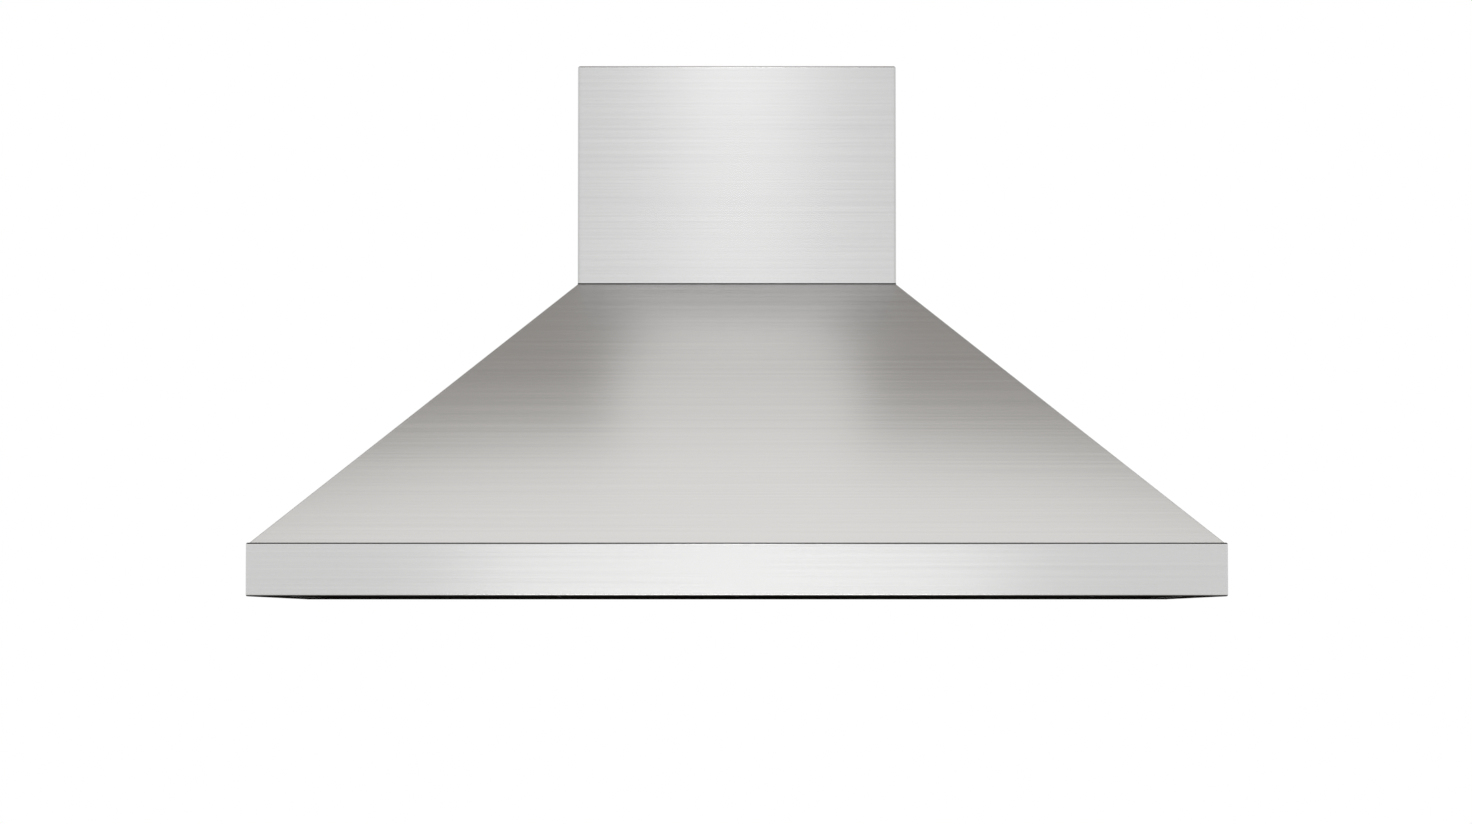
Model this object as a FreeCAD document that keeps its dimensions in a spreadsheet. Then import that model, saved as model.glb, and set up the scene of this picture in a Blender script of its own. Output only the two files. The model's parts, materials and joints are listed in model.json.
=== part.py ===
import FreeCAD, Part
import math
import os
import re

import Sketcher

# Wall-mounted chimney range hood: folded band, pyramid canopy and duct cover outside; centrifugal
# blower, duct collar with a butterfly damper, three tilt-down baffle filters, lamps and buttons inside.
# X runs left to right seen from the front, Y runs to the wall (y = 0) and Z runs up.
# Lengths are millimetres. Heights in the functions count from the bottom rim of the band, and the
# placement of every sub-part moves the finished model down so that z = 0 is the middle of the
# four wall-fixing holes.

DIMENSIONS = {
    # whole hood
    "hood_width": 914,
    "hood_depth": 600,
    "band_height": 50,
    "canopy_rise": 263,
    "flue_width": 318,
    "flue_depth": 304,
    "flue_height": 219,
    # folded steel sheets
    "band_sheet": 1.2,
    "skin_sheet": 1.0,
    "back_sheet": 1.2,
    "flue_sheet": 1.0,
    "panel_sheet": 1.0,
    "fold_radius": 2,
    "weld_radius": 1.5,
    "band_reveal": 3,
    "band_top_flange": 14,
    "band_bottom_flange": 20,
    "skin_base_flange": 12,
    "skin_top_flange": 14,
    "back_flange": 16,
    "flue_top_flange": 12,
    "flue_foot_flange": 12,
    "flue_back_flange": 20,
    # wall fixing
    "fixing_above_rim": 175,
    "fixing_spacing_x": 360,
    "fixing_spacing_z": 110,
    "fixing_hole_radius": 4,
    # duct cover bracket
    "bracket_below_top": 40,
    "bracket_height": 30,
    "bracket_sheet": 1.5,
    "bracket_arm": 26,
    "bracket_foot_width": 230,
    "bracket_hole_spacing": 180,
    "bracket_hole_radius": 2.5,
    "bracket_clearance": 0.3,
    # screws and rivets
    "screw_radius": 2,
    "screw_hole_radius": 2.2,
    "screw_head_radius": 4,
    "screw_head_height": 2.4,
    "rivet_tail_height": 1.2,
    "rivet_rows_across": 5,
    "rivet_rows_deep": 3,
    # how far a cutting block runs past what it cuts
    "cut_margin": 1,
    # underside panels
    "panel_level": 10,
    "panel_foot_width": 11,
    "panel_foot_setback": 2,
    "side_panel_width": 43,
    "side_panel_clearance": 1.5,
    "front_panel_depth": 116,
    "lip_width": 18,
    # grease trough and cup
    "trough_depth": 80,
    "trough_level": 26,
    "trough_sheet": 1.0,
    "trough_front_height": 7,
    "trough_back_height": 34,
    "trough_end_gap": 1,
    "drain_radius": 6,
    "cup_width": 130,
    "cup_span": 50,
    "cup_depth": 19,
    "cup_sheet": 1.2,
    "cup_rim": 5,
    "cup_pull": 8,
    "cup_corner": 8,
    "cup_slide_clearance": 0.3,
    "runner_sheet": 1.5,
    "runner_foot": 5,
    # filters and their pivots
    "filter_thickness": 16,
    "filter_sheet": 1.0,
    "filter_gap": 8,
    "filter_front_gap": 3,
    "filter_tail": 28,
    "filter_tilt": 4,
    "filter_side_flange": 12,
    "filter_back_flange": 14,
    "filter_front_flange": 40,
    "pivot_ahead": 12,
    "pivot_level": 44,
    "pivot_radius": 2.5,
    "pivot_clearance": 0.3,
    "pin_end_gap": 0.4,
    "lug_thickness": 3,
    "lug_height": 9,
    "lug_ahead": 7,
    "lug_base_sheet": 1.0,
    "lug_base_inset": 1,
    "baffle_sheet": 0.8,
    "baffle_width": 24,
    "baffle_count": 7,
    "baffle_side_gap": 8.5,
    "baffle_leg": 8.5,
    "baffle_end_gap": 1,
    # filter latch and handle
    "latch_width": 24,
    "latch_thickness": 4,
    "latch_engagement": 9,
    "latch_length": 34,
    "latch_travel": 10,
    "latch_clearance": 0.3,
    "latch_tab_height": 9,
    "latch_tab_thickness": 3,
    "latch_tab_width": 16,
    "latch_tab_gap": 1,
    "handle_span": 92,
    "handle_wire_radius": 2.5,
    "handle_drop": 20,
    "handle_setback": 11,
    "handle_bend_radius": 6,
    # blower
    "blower_plate_sheet": 1.5,
    "blower_plate_margin": 3,
    "blower_axis_below_top": 111,
    "scroll_sheet": 1.0,
    "scroll_half_width": 75,
    "scroll_step": 14,
    "scroll_flange": 12,
    "wheel_radius": 85,
    "wheel_clearance": 8,
    "wheel_half_width": 64,
    "wheel_ring_width": 15,
    "wheel_ring_thickness": 2,
    "blade_thickness": 1.2,
    "blade_count": 36,
    "hub_radius": 13,
    "hub_length": 20,
    "blade_bow": 9.75,
    "blade_spread": 40,
    "blade_bow_drop": 7.8,
    "shaft_radius": 4,
    "shaft_length": 74,
    "inlet_radius": 66,
    "inlet_flange_radius": 80,
    "inlet_overlap": 13,
    "inlet_bend": 4,
    "motor_radius": 46,
    "motor_length": 66,
    "motor_hub_gap": 3,
    "motor_bell_length": 7.6,
    "motor_boss_radius": 15.4,
    "motor_boss_flare": 2,
    "motor_bell_radius": 41.4,
    "motor_nose_radius": 32.2,
    "motor_shaft_clearance": 0.05,
    "motor_bracket_sheet": 2,
    "motor_plate_radius": 34.5,
    "motor_plate_bore": 8,
    "motor_arm_width": 14,
    "motor_arm_reach": 90,
    "motor_arm_count": 3,
    # duct collar and damper
    "collar_radius": 75,
    "collar_sheet": 1.0,
    "collar_height": 60,
    "collar_flange_radius": 88,
    "collar_from_wall": 152,
    "collar_screw_angle": 60,
    "gasket_thickness": 1.5,
    "damper_rod_level": 22,
    "damper_rod_radius": 1.5,
    "flap_thickness": 0.8,
    "flap_gap": 1.5,
    "flap_hinge_gap": 0.5,
    "flap_stop_radius": 2,
    "flap_stop_reach": 4,
    "flap_stop_gap": 0.1,
    "knuckle_radius": 2.6,
    "knuckle_length": 14,
    "knuckle_bore_clearance": 0.05,
    "knuckle_spacing": 60,
    # lamps
    "lamp_from_side": 157,
    "lamp_hole_radius": 30,
    "lamp_bezel_radius": 36,
    "lamp_bezel_height": 2.5,
    "lamp_lens_radius": 27,
    "lamp_lens_clearance": 0.2,
    "lamp_body_radius": 29.5,
    "lamp_body_height": 16,
    "lamp_body_step": 4,
    "lamp_flange_thickness": 1.2,
    # buttons
    "button_spacing": 26,
    "button_radius": 6.5,
    "button_clearance": 0.3,
    "button_height": 8,
    "button_bevel": 0.6,
    "button_flange_radius": 8,
    "button_flange_thickness": 1.5,
    "button_travel": 1.5,
    "button_row_margin": 20,
    "control_plate_depth": 34,
    "control_plate_thickness": 1.5,
    "board_thickness": 1.6,
    "board_post_inset": 4,
    "board_post_radius": 3,
    "switch_size": 6,
    "switch_height": 4.3,
    # electrical boxes
    "box_sheet": 1.2,
    "junction_width": 84,
    "junction_height": 62,
    "junction_depth": 42,
    "junction_from_middle": 262,
    "junction_level": 104,
    "junction_screw_inset": 8,
    "gland_radius": 9,
    "gland_bore_radius": 4,
    "gland_length": 16,
    "gland_neck_radius": 6.3,
    "gland_thread_clearance": 0.1,
    "driver_width": 92,
    "driver_height": 40,
    "driver_depth": 28,
    "driver_tab": 8,
    "capacitor_radius": 18,
    "capacitor_length": 58,
    "capacitor_strap_width": 14,
    "capacitor_from_driver": 36,
}

doc = FreeCAD.newDocument("chimney_hood")
sheet = doc.addObject("Spreadsheet::Sheet", "dims")
for row, (alias, size) in enumerate(DIMENSIONS.items(), start=1):
    sheet.set(f"A{row}", alias)
    sheet.set(f"B{row}", str(size))
    sheet.setAlias(f"B{row}", alias)
doc.recompute()

ALIASES = re.compile(r"\b(" + "|".join(DIMENSIONS) + r")\b")
SUBPARTS = []

# Expressions that several sub-parts share, in the words of the sheet
HALF_WIDTH = "(hood_width / 2)"
CANOPY_TOP = "(band_height + canopy_rise)"
SKIN_HALF = "(hood_width / 2 - band_reveal)"
SKIN_FRONT = "(hood_depth - band_reveal)"
SIDE_RUN = f"({SKIN_HALF} - flue_width / 2)"
FRONT_RUN = f"({SKIN_FRONT} - flue_depth)"
SIDE_WALL = f"(skin_sheet * sqrt({SIDE_RUN}^2 + canopy_rise^2) / canopy_rise)"
FRONT_WALL = f"(skin_sheet * sqrt({FRONT_RUN}^2 + canopy_rise^2) / canopy_rise)"
OPENING_HALF = "(hood_width / 2 - side_panel_width)"
PANEL_BACK = "(hood_depth - front_panel_depth)"
LIP_BACK = f"({PANEL_BACK} - lip_width)"
PIVOT_DEPTH = "(trough_depth + pivot_ahead)"
FILTER_REACH = f"({LIP_BACK} - filter_front_gap - {PIVOT_DEPTH})"
FILTER_WIDTH = f"((2 * {OPENING_HALF} - 4 * filter_gap) / 3)"
FILTER_STEP = f"({FILTER_WIDTH} + filter_gap)"
LATCH_LOW = "(filter_thickness / 2 - filter_sheet - latch_clearance)"
LIP_TOP = (
    f"(pivot_level + ({FILTER_REACH} + filter_front_gap) * sin(filter_tilt)"
    f" - {LATCH_LOW} * cos(filter_tilt) - latch_clearance)"
)
PLATE_TOP = f"({CANOPY_TOP} - skin_sheet)"
PLATE_UNDER = f"({PLATE_TOP} - blower_plate_sheet)"
BLOWER_LEVEL = f"({CANOPY_TOP} - blower_axis_below_top)"
SCROLL_TOP_RADIUS = "(wheel_radius + wheel_clearance)"
SCROLL_BACK_RADIUS = f"({SCROLL_TOP_RADIUS} + 3 * scroll_step)"
OUTLET_HALF = "(collar_radius - collar_sheet)"
BLOWER_DEPTH = f"(collar_from_wall - {OUTLET_HALF} + {SCROLL_BACK_RADIUS})"
SCROLL_SIDE_FACE = "(scroll_half_width + scroll_sheet)"
COLLAR_BASE = f"({PLATE_TOP} + gasket_thickness)"
PANEL_TOP = "(panel_level + panel_sheet)"
CONTROL_DEPTH = "(hood_depth - (front_panel_depth + band_bottom_flange) / 2)"
LAMP_SIDE = f"({HALF_WIDTH} - lamp_from_side)"


def qualified(text):
    return ALIASES.sub(r"dims.\1", str(text))


def number(text):
    return float(sheet.evalExpression(qualified(text)))


def bind(thing, prop, text):
    thing.setExpression(prop, qualified(text))


def subpart(thing, label, x="0", y="0", z="0", turn="0", axis=(1, 0, 0)):
    """Names a finished sub-part and puts it in the hood's own frame."""
    thing.Label = label
    rotation = FreeCAD.Rotation(FreeCAD.Vector(*axis), number(turn))
    thing.Placement = FreeCAD.Placement(FreeCAD.Vector(), rotation)
    bind(thing, "Placement.Base.x", x)
    bind(thing, "Placement.Base.y", y)
    bind(thing, "Placement.Base.z", f"{z} - fixing_above_rim")
    if turn != "0":
        bind(thing, "Placement.Rotation.Angle", turn)
    SUBPARTS.append(thing)
    return thing


# Sketch and feature helpers

def new_body(name):
    return doc.addObject("PartDesign::Body", name)


def origin_feature(body, role):
    return next(f for f in body.Origin.OriginFeatures if f.Role == role)


def new_sketch(body, role, level="0"):
    """A sketch on one of the body's planes. Level counts along the plane's normal: up from the rim
    on XY, forwards from the wall on XZ and to the right of the middle on YZ."""
    sketch = body.newObject("Sketcher::SketchObject", body.Name + "_sketch")
    sketch.AttachmentSupport = [(origin_feature(body, role), "")]
    sketch.MapMode = "FlatFace"
    bind(sketch, "AttachmentOffset.Base.z", level)
    return sketch


def datum(sketch, kind, *references, text):
    index = sketch.addConstraint(Sketcher.Constraint(kind, *references, number(text)))
    bind(sketch, f"Constraints[{index}]", text)


def pin_point(sketch, geometry, end, x, y):
    datum(sketch, "DistanceX", -1, 1, geometry, end, text=x)
    datum(sketch, "DistanceY", -1, 1, geometry, end, text=y)


def polygon(sketch, points):
    corners = [FreeCAD.Vector(number(x), number(y), 0) for x, y in points]
    first = sketch.GeometryCount
    count = len(points)
    for i in range(count):
        sketch.addGeometry(Part.LineSegment(corners[i], corners[(i + 1) % count]))
    for i in range(count):
        sketch.addConstraint(Sketcher.Constraint("Coincident", first + i, 2, first + (i + 1) % count, 1))
    for i, (x, y) in enumerate(points):
        pin_point(sketch, first + i, 1, x, y)


def rectangle(sketch, x_low, x_high, y_low, y_high):
    polygon(sketch, [(x_low, y_low), (x_high, y_low), (x_high, y_high), (x_low, y_high)])


def rounded_rectangle(sketch, x_low, x_high, y_low, y_high, radius):
    """Four arcs about their own centres, joined by tangent lines."""
    left, right = f"{x_low} + {radius}", f"{x_high} - {radius}"
    low, high = f"{y_low} + {radius}", f"{y_high} - {radius}"
    centres = [(right, high), (left, high), (left, low), (right, low)]
    size = number(radius)
    first = sketch.GeometryCount
    for k, (x, y) in enumerate(centres):
        turn = Part.Circle(FreeCAD.Vector(number(x), number(y), 0), FreeCAD.Vector(0, 0, 1), size)
        sketch.addGeometry(Part.ArcOfCircle(turn, k * math.pi / 2, (k + 1) * math.pi / 2))
    for k in range(4):
        leave = sketch.getPoint(first + k, 2)
        enter = sketch.getPoint(first + (k + 1) % 4, 1)
        sketch.addGeometry(Part.LineSegment(leave, enter))
    for k, (x, y) in enumerate(centres):
        sketch.addConstraint(Sketcher.Constraint("Tangent", first + k, 2, first + 4 + k, 1))
        sketch.addConstraint(Sketcher.Constraint("Tangent", first + 4 + k, 2, first + (k + 1) % 4, 1))
        pin_point(sketch, first + k, 3, x, y)
        datum(sketch, "Radius", first + k, text=radius)


def circle(sketch, x, y, radius):
    centre = FreeCAD.Vector(number(x), number(y), 0)
    index = sketch.addGeometry(Part.Circle(centre, FreeCAD.Vector(0, 0, 1), number(radius)))
    pin_point(sketch, index, 3, x, y)
    datum(sketch, "Radius", index, text=radius)


def pad(body, sketch, length, backwards=False):
    feature = body.newObject("PartDesign::Pad", body.Name + "_pad")
    feature.Profile = sketch
    feature.Reversed = backwards
    bind(feature, "Length", length)
    doc.recompute()
    return feature


def pocket(body, sketch, length, forwards=True):
    """Cuts along the sketch's normal, and stops the build if nothing was cut."""
    before = body.Tip.Shape.Volume
    feature = body.newObject("PartDesign::Pocket", body.Name + "_pocket")
    feature.Profile = sketch
    feature.Reversed = forwards
    bind(feature, "Length", length)
    doc.recompute()
    if not feature.Shape.Volume < before:
        raise RuntimeError(f"{feature.Name} cuts nothing")
    return feature


def revolve(body, sketch, role):
    feature = body.newObject("PartDesign::Revolution", body.Name + "_revolution")
    feature.Profile = sketch
    feature.ReferenceAxis = (origin_feature(body, role), [""])
    feature.Angle = 360
    doc.recompute()
    return feature


def fillet(body, radius, chosen):
    """Rounds the edges of the body so far for which chosen(edge's middle, edge) is true."""
    base = body.Tip
    names = []
    for i, edge in enumerate(base.Shape.Edges, start=1):
        middle = edge.valueAt((edge.FirstParameter + edge.LastParameter) / 2)
        if chosen(middle, edge):
            names.append(f"Edge{i}")
    feature = body.newObject("PartDesign::Fillet", body.Name + "_fillet")
    feature.Base = (base, names)
    bind(feature, "Radius", radius)
    doc.recompute()
    return feature


def polar_pattern(body, original, role, count):
    feature = body.newObject("PartDesign::PolarPattern", body.Name + "_pattern")
    feature.Originals = [original]
    feature.Axis = (origin_feature(body, role), [""])
    feature.Angle = 360
    bind(feature, "Occurrences", count)
    body.Tip = feature
    doc.recompute()
    return feature


def linear_pattern(body, original, role, length, count):
    feature = body.newObject("PartDesign::LinearPattern", body.Name + "_pattern")
    feature.Originals = [original]
    feature.Direction = (origin_feature(body, role), [""])
    bind(feature, "Length", length)
    bind(feature, "Occurrences", count)
    body.Tip = feature
    doc.recompute()
    return feature


def near(value, text, tolerance=1e-4):
    return abs(value - number(text)) < tolerance


# Part helpers

def box(x_low, x_high, y_low, y_high, z_low, z_high):
    thing = doc.addObject("Part::Box", "block")
    for prop, low, high in (("Length", x_low, x_high), ("Width", y_low, y_high), ("Height", z_low, z_high)):
        bind(thing, prop, f"({high}) - ({low})")
    bind(thing, "Placement.Base.x", x_low)
    bind(thing, "Placement.Base.y", y_low)
    bind(thing, "Placement.Base.z", z_low)
    return thing


TURNS = {"x": ((0, 1, 0), 90), "y": ((1, 0, 0), -90), "z": ((0, 0, 1), 0)}


def cylinder(axis, x, y, z, radius, height):
    """A cylinder that starts at the given point and runs along +axis."""
    thing = doc.addObject("Part::Cylinder", "rod")
    bind(thing, "Radius", radius)
    bind(thing, "Height", height)
    direction, angle = TURNS[axis]
    thing.Placement.Rotation = FreeCAD.Rotation(FreeCAD.Vector(*direction), angle)
    bind(thing, "Placement.Base.x", x)
    bind(thing, "Placement.Base.y", y)
    bind(thing, "Placement.Base.z", z)
    return thing


def together(things, kind="Part::MultiFuse"):
    joined = doc.addObject(kind, "joined")
    if kind == "Part::Compound":
        joined.Links = things
    else:
        joined.Shapes = things
    return joined


def cut(base, tools):
    result = doc.addObject("Part::Cut", "cut")
    result.Base = base
    result.Tool = together(tools, "Part::Compound")
    return result


def frustum(low, high, low_half, high_half, low_front, high_front, back):
    """A block with an upright back, whose sides and front lean from its low section to its high one."""
    thing = doc.addObject("Part::Wedge", "frustum")
    thing.Placement.Rotation = FreeCAD.Rotation(FreeCAD.Vector(1, 0, 0), 90)
    sizes = {
        "Ymin": low, "Ymax": high, "Zmin": back, "Z2min": back, "Zmax": low_front, "Z2max": high_front,
        "Xmin": f"-({low_half})", "Xmax": low_half, "X2min": f"-({high_half})", "X2max": high_half,
    }
    for prop, text in sizes.items():
        bind(thing, prop, text)
    return thing


def round_bar(name, role, radius, start, length):
    """A plain round bar about one of the body's axes."""
    body = new_body(name)
    section = new_sketch(body, role, start)
    circle(section, "0", "0", radius)
    pad(body, section, length)
    return body


def screw(axis, x, y, z, shank, head_at_end):
    """A screw whose shank starts at the point and runs along +axis, with its head at one end."""
    coordinates = {"x": x, "y": y, "z": z}
    if head_at_end:
        coordinates[axis] = f"{coordinates[axis]} + {shank}"
    else:
        coordinates[axis] = f"{coordinates[axis]} - screw_head_height"
    return together([
        cylinder(axis, x, y, z, "screw_radius", shank),
        cylinder(axis, coordinates["x"], coordinates["y"], coordinates["z"], "screw_head_radius",
                 "screw_head_height"),
    ])


# Outer casing

def fascia_band():
    body = new_body("FasciaBand")

    def ring(inset, level):
        sketch = new_sketch(body, "XY_Plane", level)
        side = f"{HALF_WIDTH} - {inset}"
        rectangle(sketch, f"-({side})", side, f"-(hood_depth - {inset})", "back_sheet")
        return sketch

    outline = new_sketch(body, "XY_Plane")
    rectangle(outline, f"-{HALF_WIDTH}", HALF_WIDTH, "-hood_depth", "-back_sheet")
    pad(body, outline, "band_height")
    pocket(body, ring("band_bottom_flange", "0"), "band_sheet")
    pocket(body, ring("band_sheet", "band_sheet"), "band_height - 2 * band_sheet")
    pocket(body, ring("band_top_flange", "band_height - band_sheet"), "band_sheet")

    def outside(middle, edge):
        on_rim = near(middle.z, "0") or near(middle.z, "band_height")
        on_web = near(abs(middle.x), HALF_WIDTH) or near(-middle.y, "hood_depth")
        at_corner = near(abs(middle.x), HALF_WIDTH) and near(-middle.y, "hood_depth")
        return at_corner or (on_rim and on_web and edge.Length > number("band_height"))

    fillet(body, "fold_radius", outside)
    rivet_holes(body)
    return subpart(body, "fascia_band")


def canopy_skin():
    """The welded pyramid: both slanted walls have the same sheet thickness, measured square to them."""
    body = new_body("CanopySkin")
    side_step = f"skin_sheet * {SIDE_RUN} / canopy_rise"
    front_step = f"skin_sheet * {FRONT_RUN} / canopy_rise"
    outside = frustum("band_height", CANOPY_TOP, SKIN_HALF, "flue_width / 2", SKIN_FRONT, "flue_depth",
                      "back_sheet")
    inside = frustum(
        "band_height + skin_sheet", PLATE_TOP,
        f"{SKIN_HALF} - {SIDE_WALL} - {side_step}", f"flue_width / 2 - {SIDE_WALL} + {side_step}",
        f"{SKIN_FRONT} - {FRONT_WALL} - {front_step}", f"flue_depth - {FRONT_WALL} + {front_step}", "0")
    base_half = f"({SKIN_HALF} - skin_base_flange)"
    mouth = box(f"-{base_half}", base_half, f"-({SKIN_FRONT} - skin_base_flange)", "0", "band_height",
                "band_height + skin_sheet")
    top_half = "(flue_width / 2 - skin_top_flange)"
    outlet = box(f"-{top_half}", top_half, "-(flue_depth - skin_top_flange)", "0", PLATE_TOP, CANOPY_TOP)
    screws = [cylinder("z", x, y, PLATE_TOP, "screw_hole_radius", "skin_sheet")
              for x, y in plate_screw_spots()]
    body.BaseFeature = cut(outside, [inside, mouth, outlet] + screws)
    doc.recompute()

    def weld(middle, edge):
        halfway_across = near(2 * abs(middle.x), f"{SKIN_HALF} + flue_width / 2")
        return halfway_across and near(-2 * middle.y, f"{SKIN_FRONT} + flue_depth")

    fillet(body, "weld_radius", weld)
    return subpart(body, "canopy_skin")


def back_panel():
    body = new_body("BackPanel")
    outline = new_sketch(body, "XZ_Plane")
    polygon(outline, [
        (f"-{HALF_WIDTH}", "0"), (HALF_WIDTH, "0"), (HALF_WIDTH, "band_height"),
        (SKIN_HALF, "band_height"), ("flue_width / 2", CANOPY_TOP), ("-flue_width / 2", CANOPY_TOP),
        (f"-{SKIN_HALF}", "band_height"), (f"-{HALF_WIDTH}", "band_height"),
    ])
    pad(body, outline, "back_sheet")
    for half, low in ((f"{HALF_WIDTH} - band_bottom_flange - back_sheet", "0"),
                      ("flue_width / 2 - skin_top_flange", f"{CANOPY_TOP} - back_sheet")):
        flange = new_sketch(body, "XZ_Plane", "back_sheet")
        rectangle(flange, f"-({half})", half, low, f"{low} + back_sheet")
        pad(body, flange, "back_flange - back_sheet")
    holes = new_sketch(body, "XZ_Plane")
    for side in (-1, 1):
        for rise in (-1, 1):
            circle(holes, f"{side} * fixing_spacing_x / 2",
                   f"fixing_above_rim + {rise} * fixing_spacing_z / 2", "fixing_hole_radius")
    pocket(body, holes, "back_sheet")
    return subpart(body, "back_panel")


FLUE_TOP = f"({CANOPY_TOP} + flue_height)"
BRACKET_LEVEL = f"({FLUE_TOP} - bracket_below_top)"
ARM_DEPTH = "(flue_sheet + bracket_clearance + bracket_arm / 2)"


def flue_cover():
    body = new_body("FlueCover")

    def ring(inset, level, back):
        sketch = new_sketch(body, "XY_Plane", level)
        side = f"flue_width / 2 - {inset}"
        rectangle(sketch, f"-({side})", side, f"-(flue_depth - {inset})", back)
        return sketch

    outline = new_sketch(body, "XY_Plane", CANOPY_TOP)
    rectangle(outline, "-flue_width / 2", "flue_width / 2", "-flue_depth", "0")
    pad(body, outline, "flue_height")
    pocket(body, ring("flue_sheet", f"{CANOPY_TOP} + flue_sheet", "-flue_sheet"),
           "flue_height - 2 * flue_sheet")
    pocket(body, ring("flue_top_flange", f"{FLUE_TOP} - flue_sheet", "flue_sheet"), "flue_sheet")
    foot = new_sketch(body, "XY_Plane", CANOPY_TOP)
    inside = "(flue_width / 2 - flue_sheet)"
    rectangle(foot, f"-{inside}", inside, "-(flue_depth - flue_foot_flange)", "flue_sheet")
    pocket(body, foot, "flue_sheet")
    gap = new_sketch(body, "XZ_Plane")
    between = "(flue_width / 2 - flue_back_flange)"
    rectangle(gap, f"-{between}", between, CANOPY_TOP, FLUE_TOP)
    pocket(body, gap, "flue_sheet")
    relief = new_sketch(body, "XZ_Plane")
    rectangle(relief, f"-{inside}", inside, f"{FLUE_TOP} - flue_top_flange", f"{FLUE_TOP} - flue_sheet")
    pocket(body, relief, "flue_sheet")
    holes = new_sketch(body, "YZ_Plane", "-flue_width / 2")
    circle(holes, f"-{ARM_DEPTH}", BRACKET_LEVEL, "screw_hole_radius")
    pocket(body, holes, "flue_width")

    def outside(middle, edge):
        on_web = near(abs(middle.x), "flue_width / 2") or near(-middle.y, "flue_depth")
        at_corner = near(abs(middle.x), "flue_width / 2") and near(-middle.y, "flue_depth")
        return at_corner or (near(middle.z, FLUE_TOP) and on_web and edge.Length > number("flue_depth") / 2)

    fillet(body, "fold_radius", outside)
    return subpart(body, "flue_cover")


def flue_bracket():
    """A strip folded round the inside of the duct cover: its foot stands on the wall between the
    cover's back flanges, a joggle clears them, and each end turns forwards as a screw arm."""
    body = new_body("FlueBracket")
    plan = new_sketch(body, "XY_Plane", f"{BRACKET_LEVEL} - bracket_height / 2")
    foot = "(bracket_foot_width / 2)"
    arm = "(flue_width / 2 - flue_sheet - bracket_clearance)"
    step = "(flue_sheet + bracket_clearance)"
    half = [
        (foot, "0"), (foot, f"-{step}"), (arm, f"-{step}"), (arm, f"-({step} + bracket_arm)"),
        (f"{arm} - bracket_sheet", f"-({step} + bracket_arm)"),
        (f"{arm} - bracket_sheet", f"-({step} + bracket_sheet)"),
        (f"{foot} - bracket_sheet", f"-({step} + bracket_sheet)"),
        (f"{foot} - bracket_sheet", "-bracket_sheet"),
    ]
    polygon(plan, half + [(f"-({x})", y) for x, y in reversed(half)])
    pad(body, plan, "bracket_height")
    holes = new_sketch(body, "XZ_Plane")
    for side in (-1, 1):
        circle(holes, f"{side} * bracket_hole_spacing / 2", BRACKET_LEVEL, "bracket_hole_radius")
    pocket(body, holes, "bracket_sheet")
    arms = new_sketch(body, "YZ_Plane", "-flue_width / 2")
    circle(arms, f"-{ARM_DEPTH}", BRACKET_LEVEL, "screw_hole_radius")
    pocket(body, arms, "flue_width")
    return subpart(body, "flue_bracket")


# Underside: lamp and control panel, side panels, grease trough and cup

def front_panel():
    body = new_body("FrontPanel")
    end = f"({HALF_WIDTH} - band_bottom_flange + panel_foot_setback)"
    front = "(hood_depth - band_bottom_flange + panel_foot_setback)"
    tray = new_sketch(body, "XY_Plane", "band_sheet")
    rectangle(tray, f"-({end} + panel_sheet)", f"{end} + panel_sheet", f"-({front} + panel_sheet)",
              f"-{PANEL_BACK}")
    pad(body, tray, f"{PANEL_TOP} - band_sheet")
    hollow = new_sketch(body, "XY_Plane", "band_sheet")
    rectangle(hollow, f"-{end}", end, f"-{front}", "0")
    pocket(body, hollow, "panel_level - band_sheet")
    foot = new_sketch(body, "XY_Plane", "band_sheet")
    rectangle(foot, f"-({end} + panel_sheet)", f"{end} + panel_sheet", f"-({front} + panel_foot_width)",
              f"-({front} + panel_sheet)")
    pad(body, foot, "panel_sheet")
    riser = new_sketch(body, "XY_Plane", PANEL_TOP)
    rectangle(riser, f"-({OPENING_HALF} + panel_sheet)", f"{OPENING_HALF} + panel_sheet",
              f"-({PANEL_BACK} + panel_sheet)", f"-{PANEL_BACK}")
    pad(body, riser, f"{LIP_TOP} - {PANEL_TOP}")
    lip = new_sketch(body, "XY_Plane", f"{LIP_TOP} - panel_sheet")
    rectangle(lip, f"-({OPENING_HALF} - panel_sheet)", f"{OPENING_HALF} - panel_sheet", f"-{PANEL_BACK}",
              f"-{LIP_BACK}")
    pad(body, lip, "panel_sheet")
    lamps = new_sketch(body, "XY_Plane", "panel_level")
    for side in (-1, 1):
        circle(lamps, f"{side} * {LAMP_SIDE}", f"-{CONTROL_DEPTH}", "lamp_hole_radius")
    pocket(body, lamps, "panel_sheet")
    window = new_sketch(body, "XY_Plane", "panel_level")
    half = "(2 * button_spacing + button_row_margin / 2)"
    rectangle(window, f"-{half}", half, f"-({CONTROL_DEPTH} + button_row_margin / 2)",
              f"-({CONTROL_DEPTH} - button_row_margin / 2)")
    pocket(body, window, "panel_sheet")
    rivet_holes(body)
    return subpart(body, "front_panel")


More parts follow.
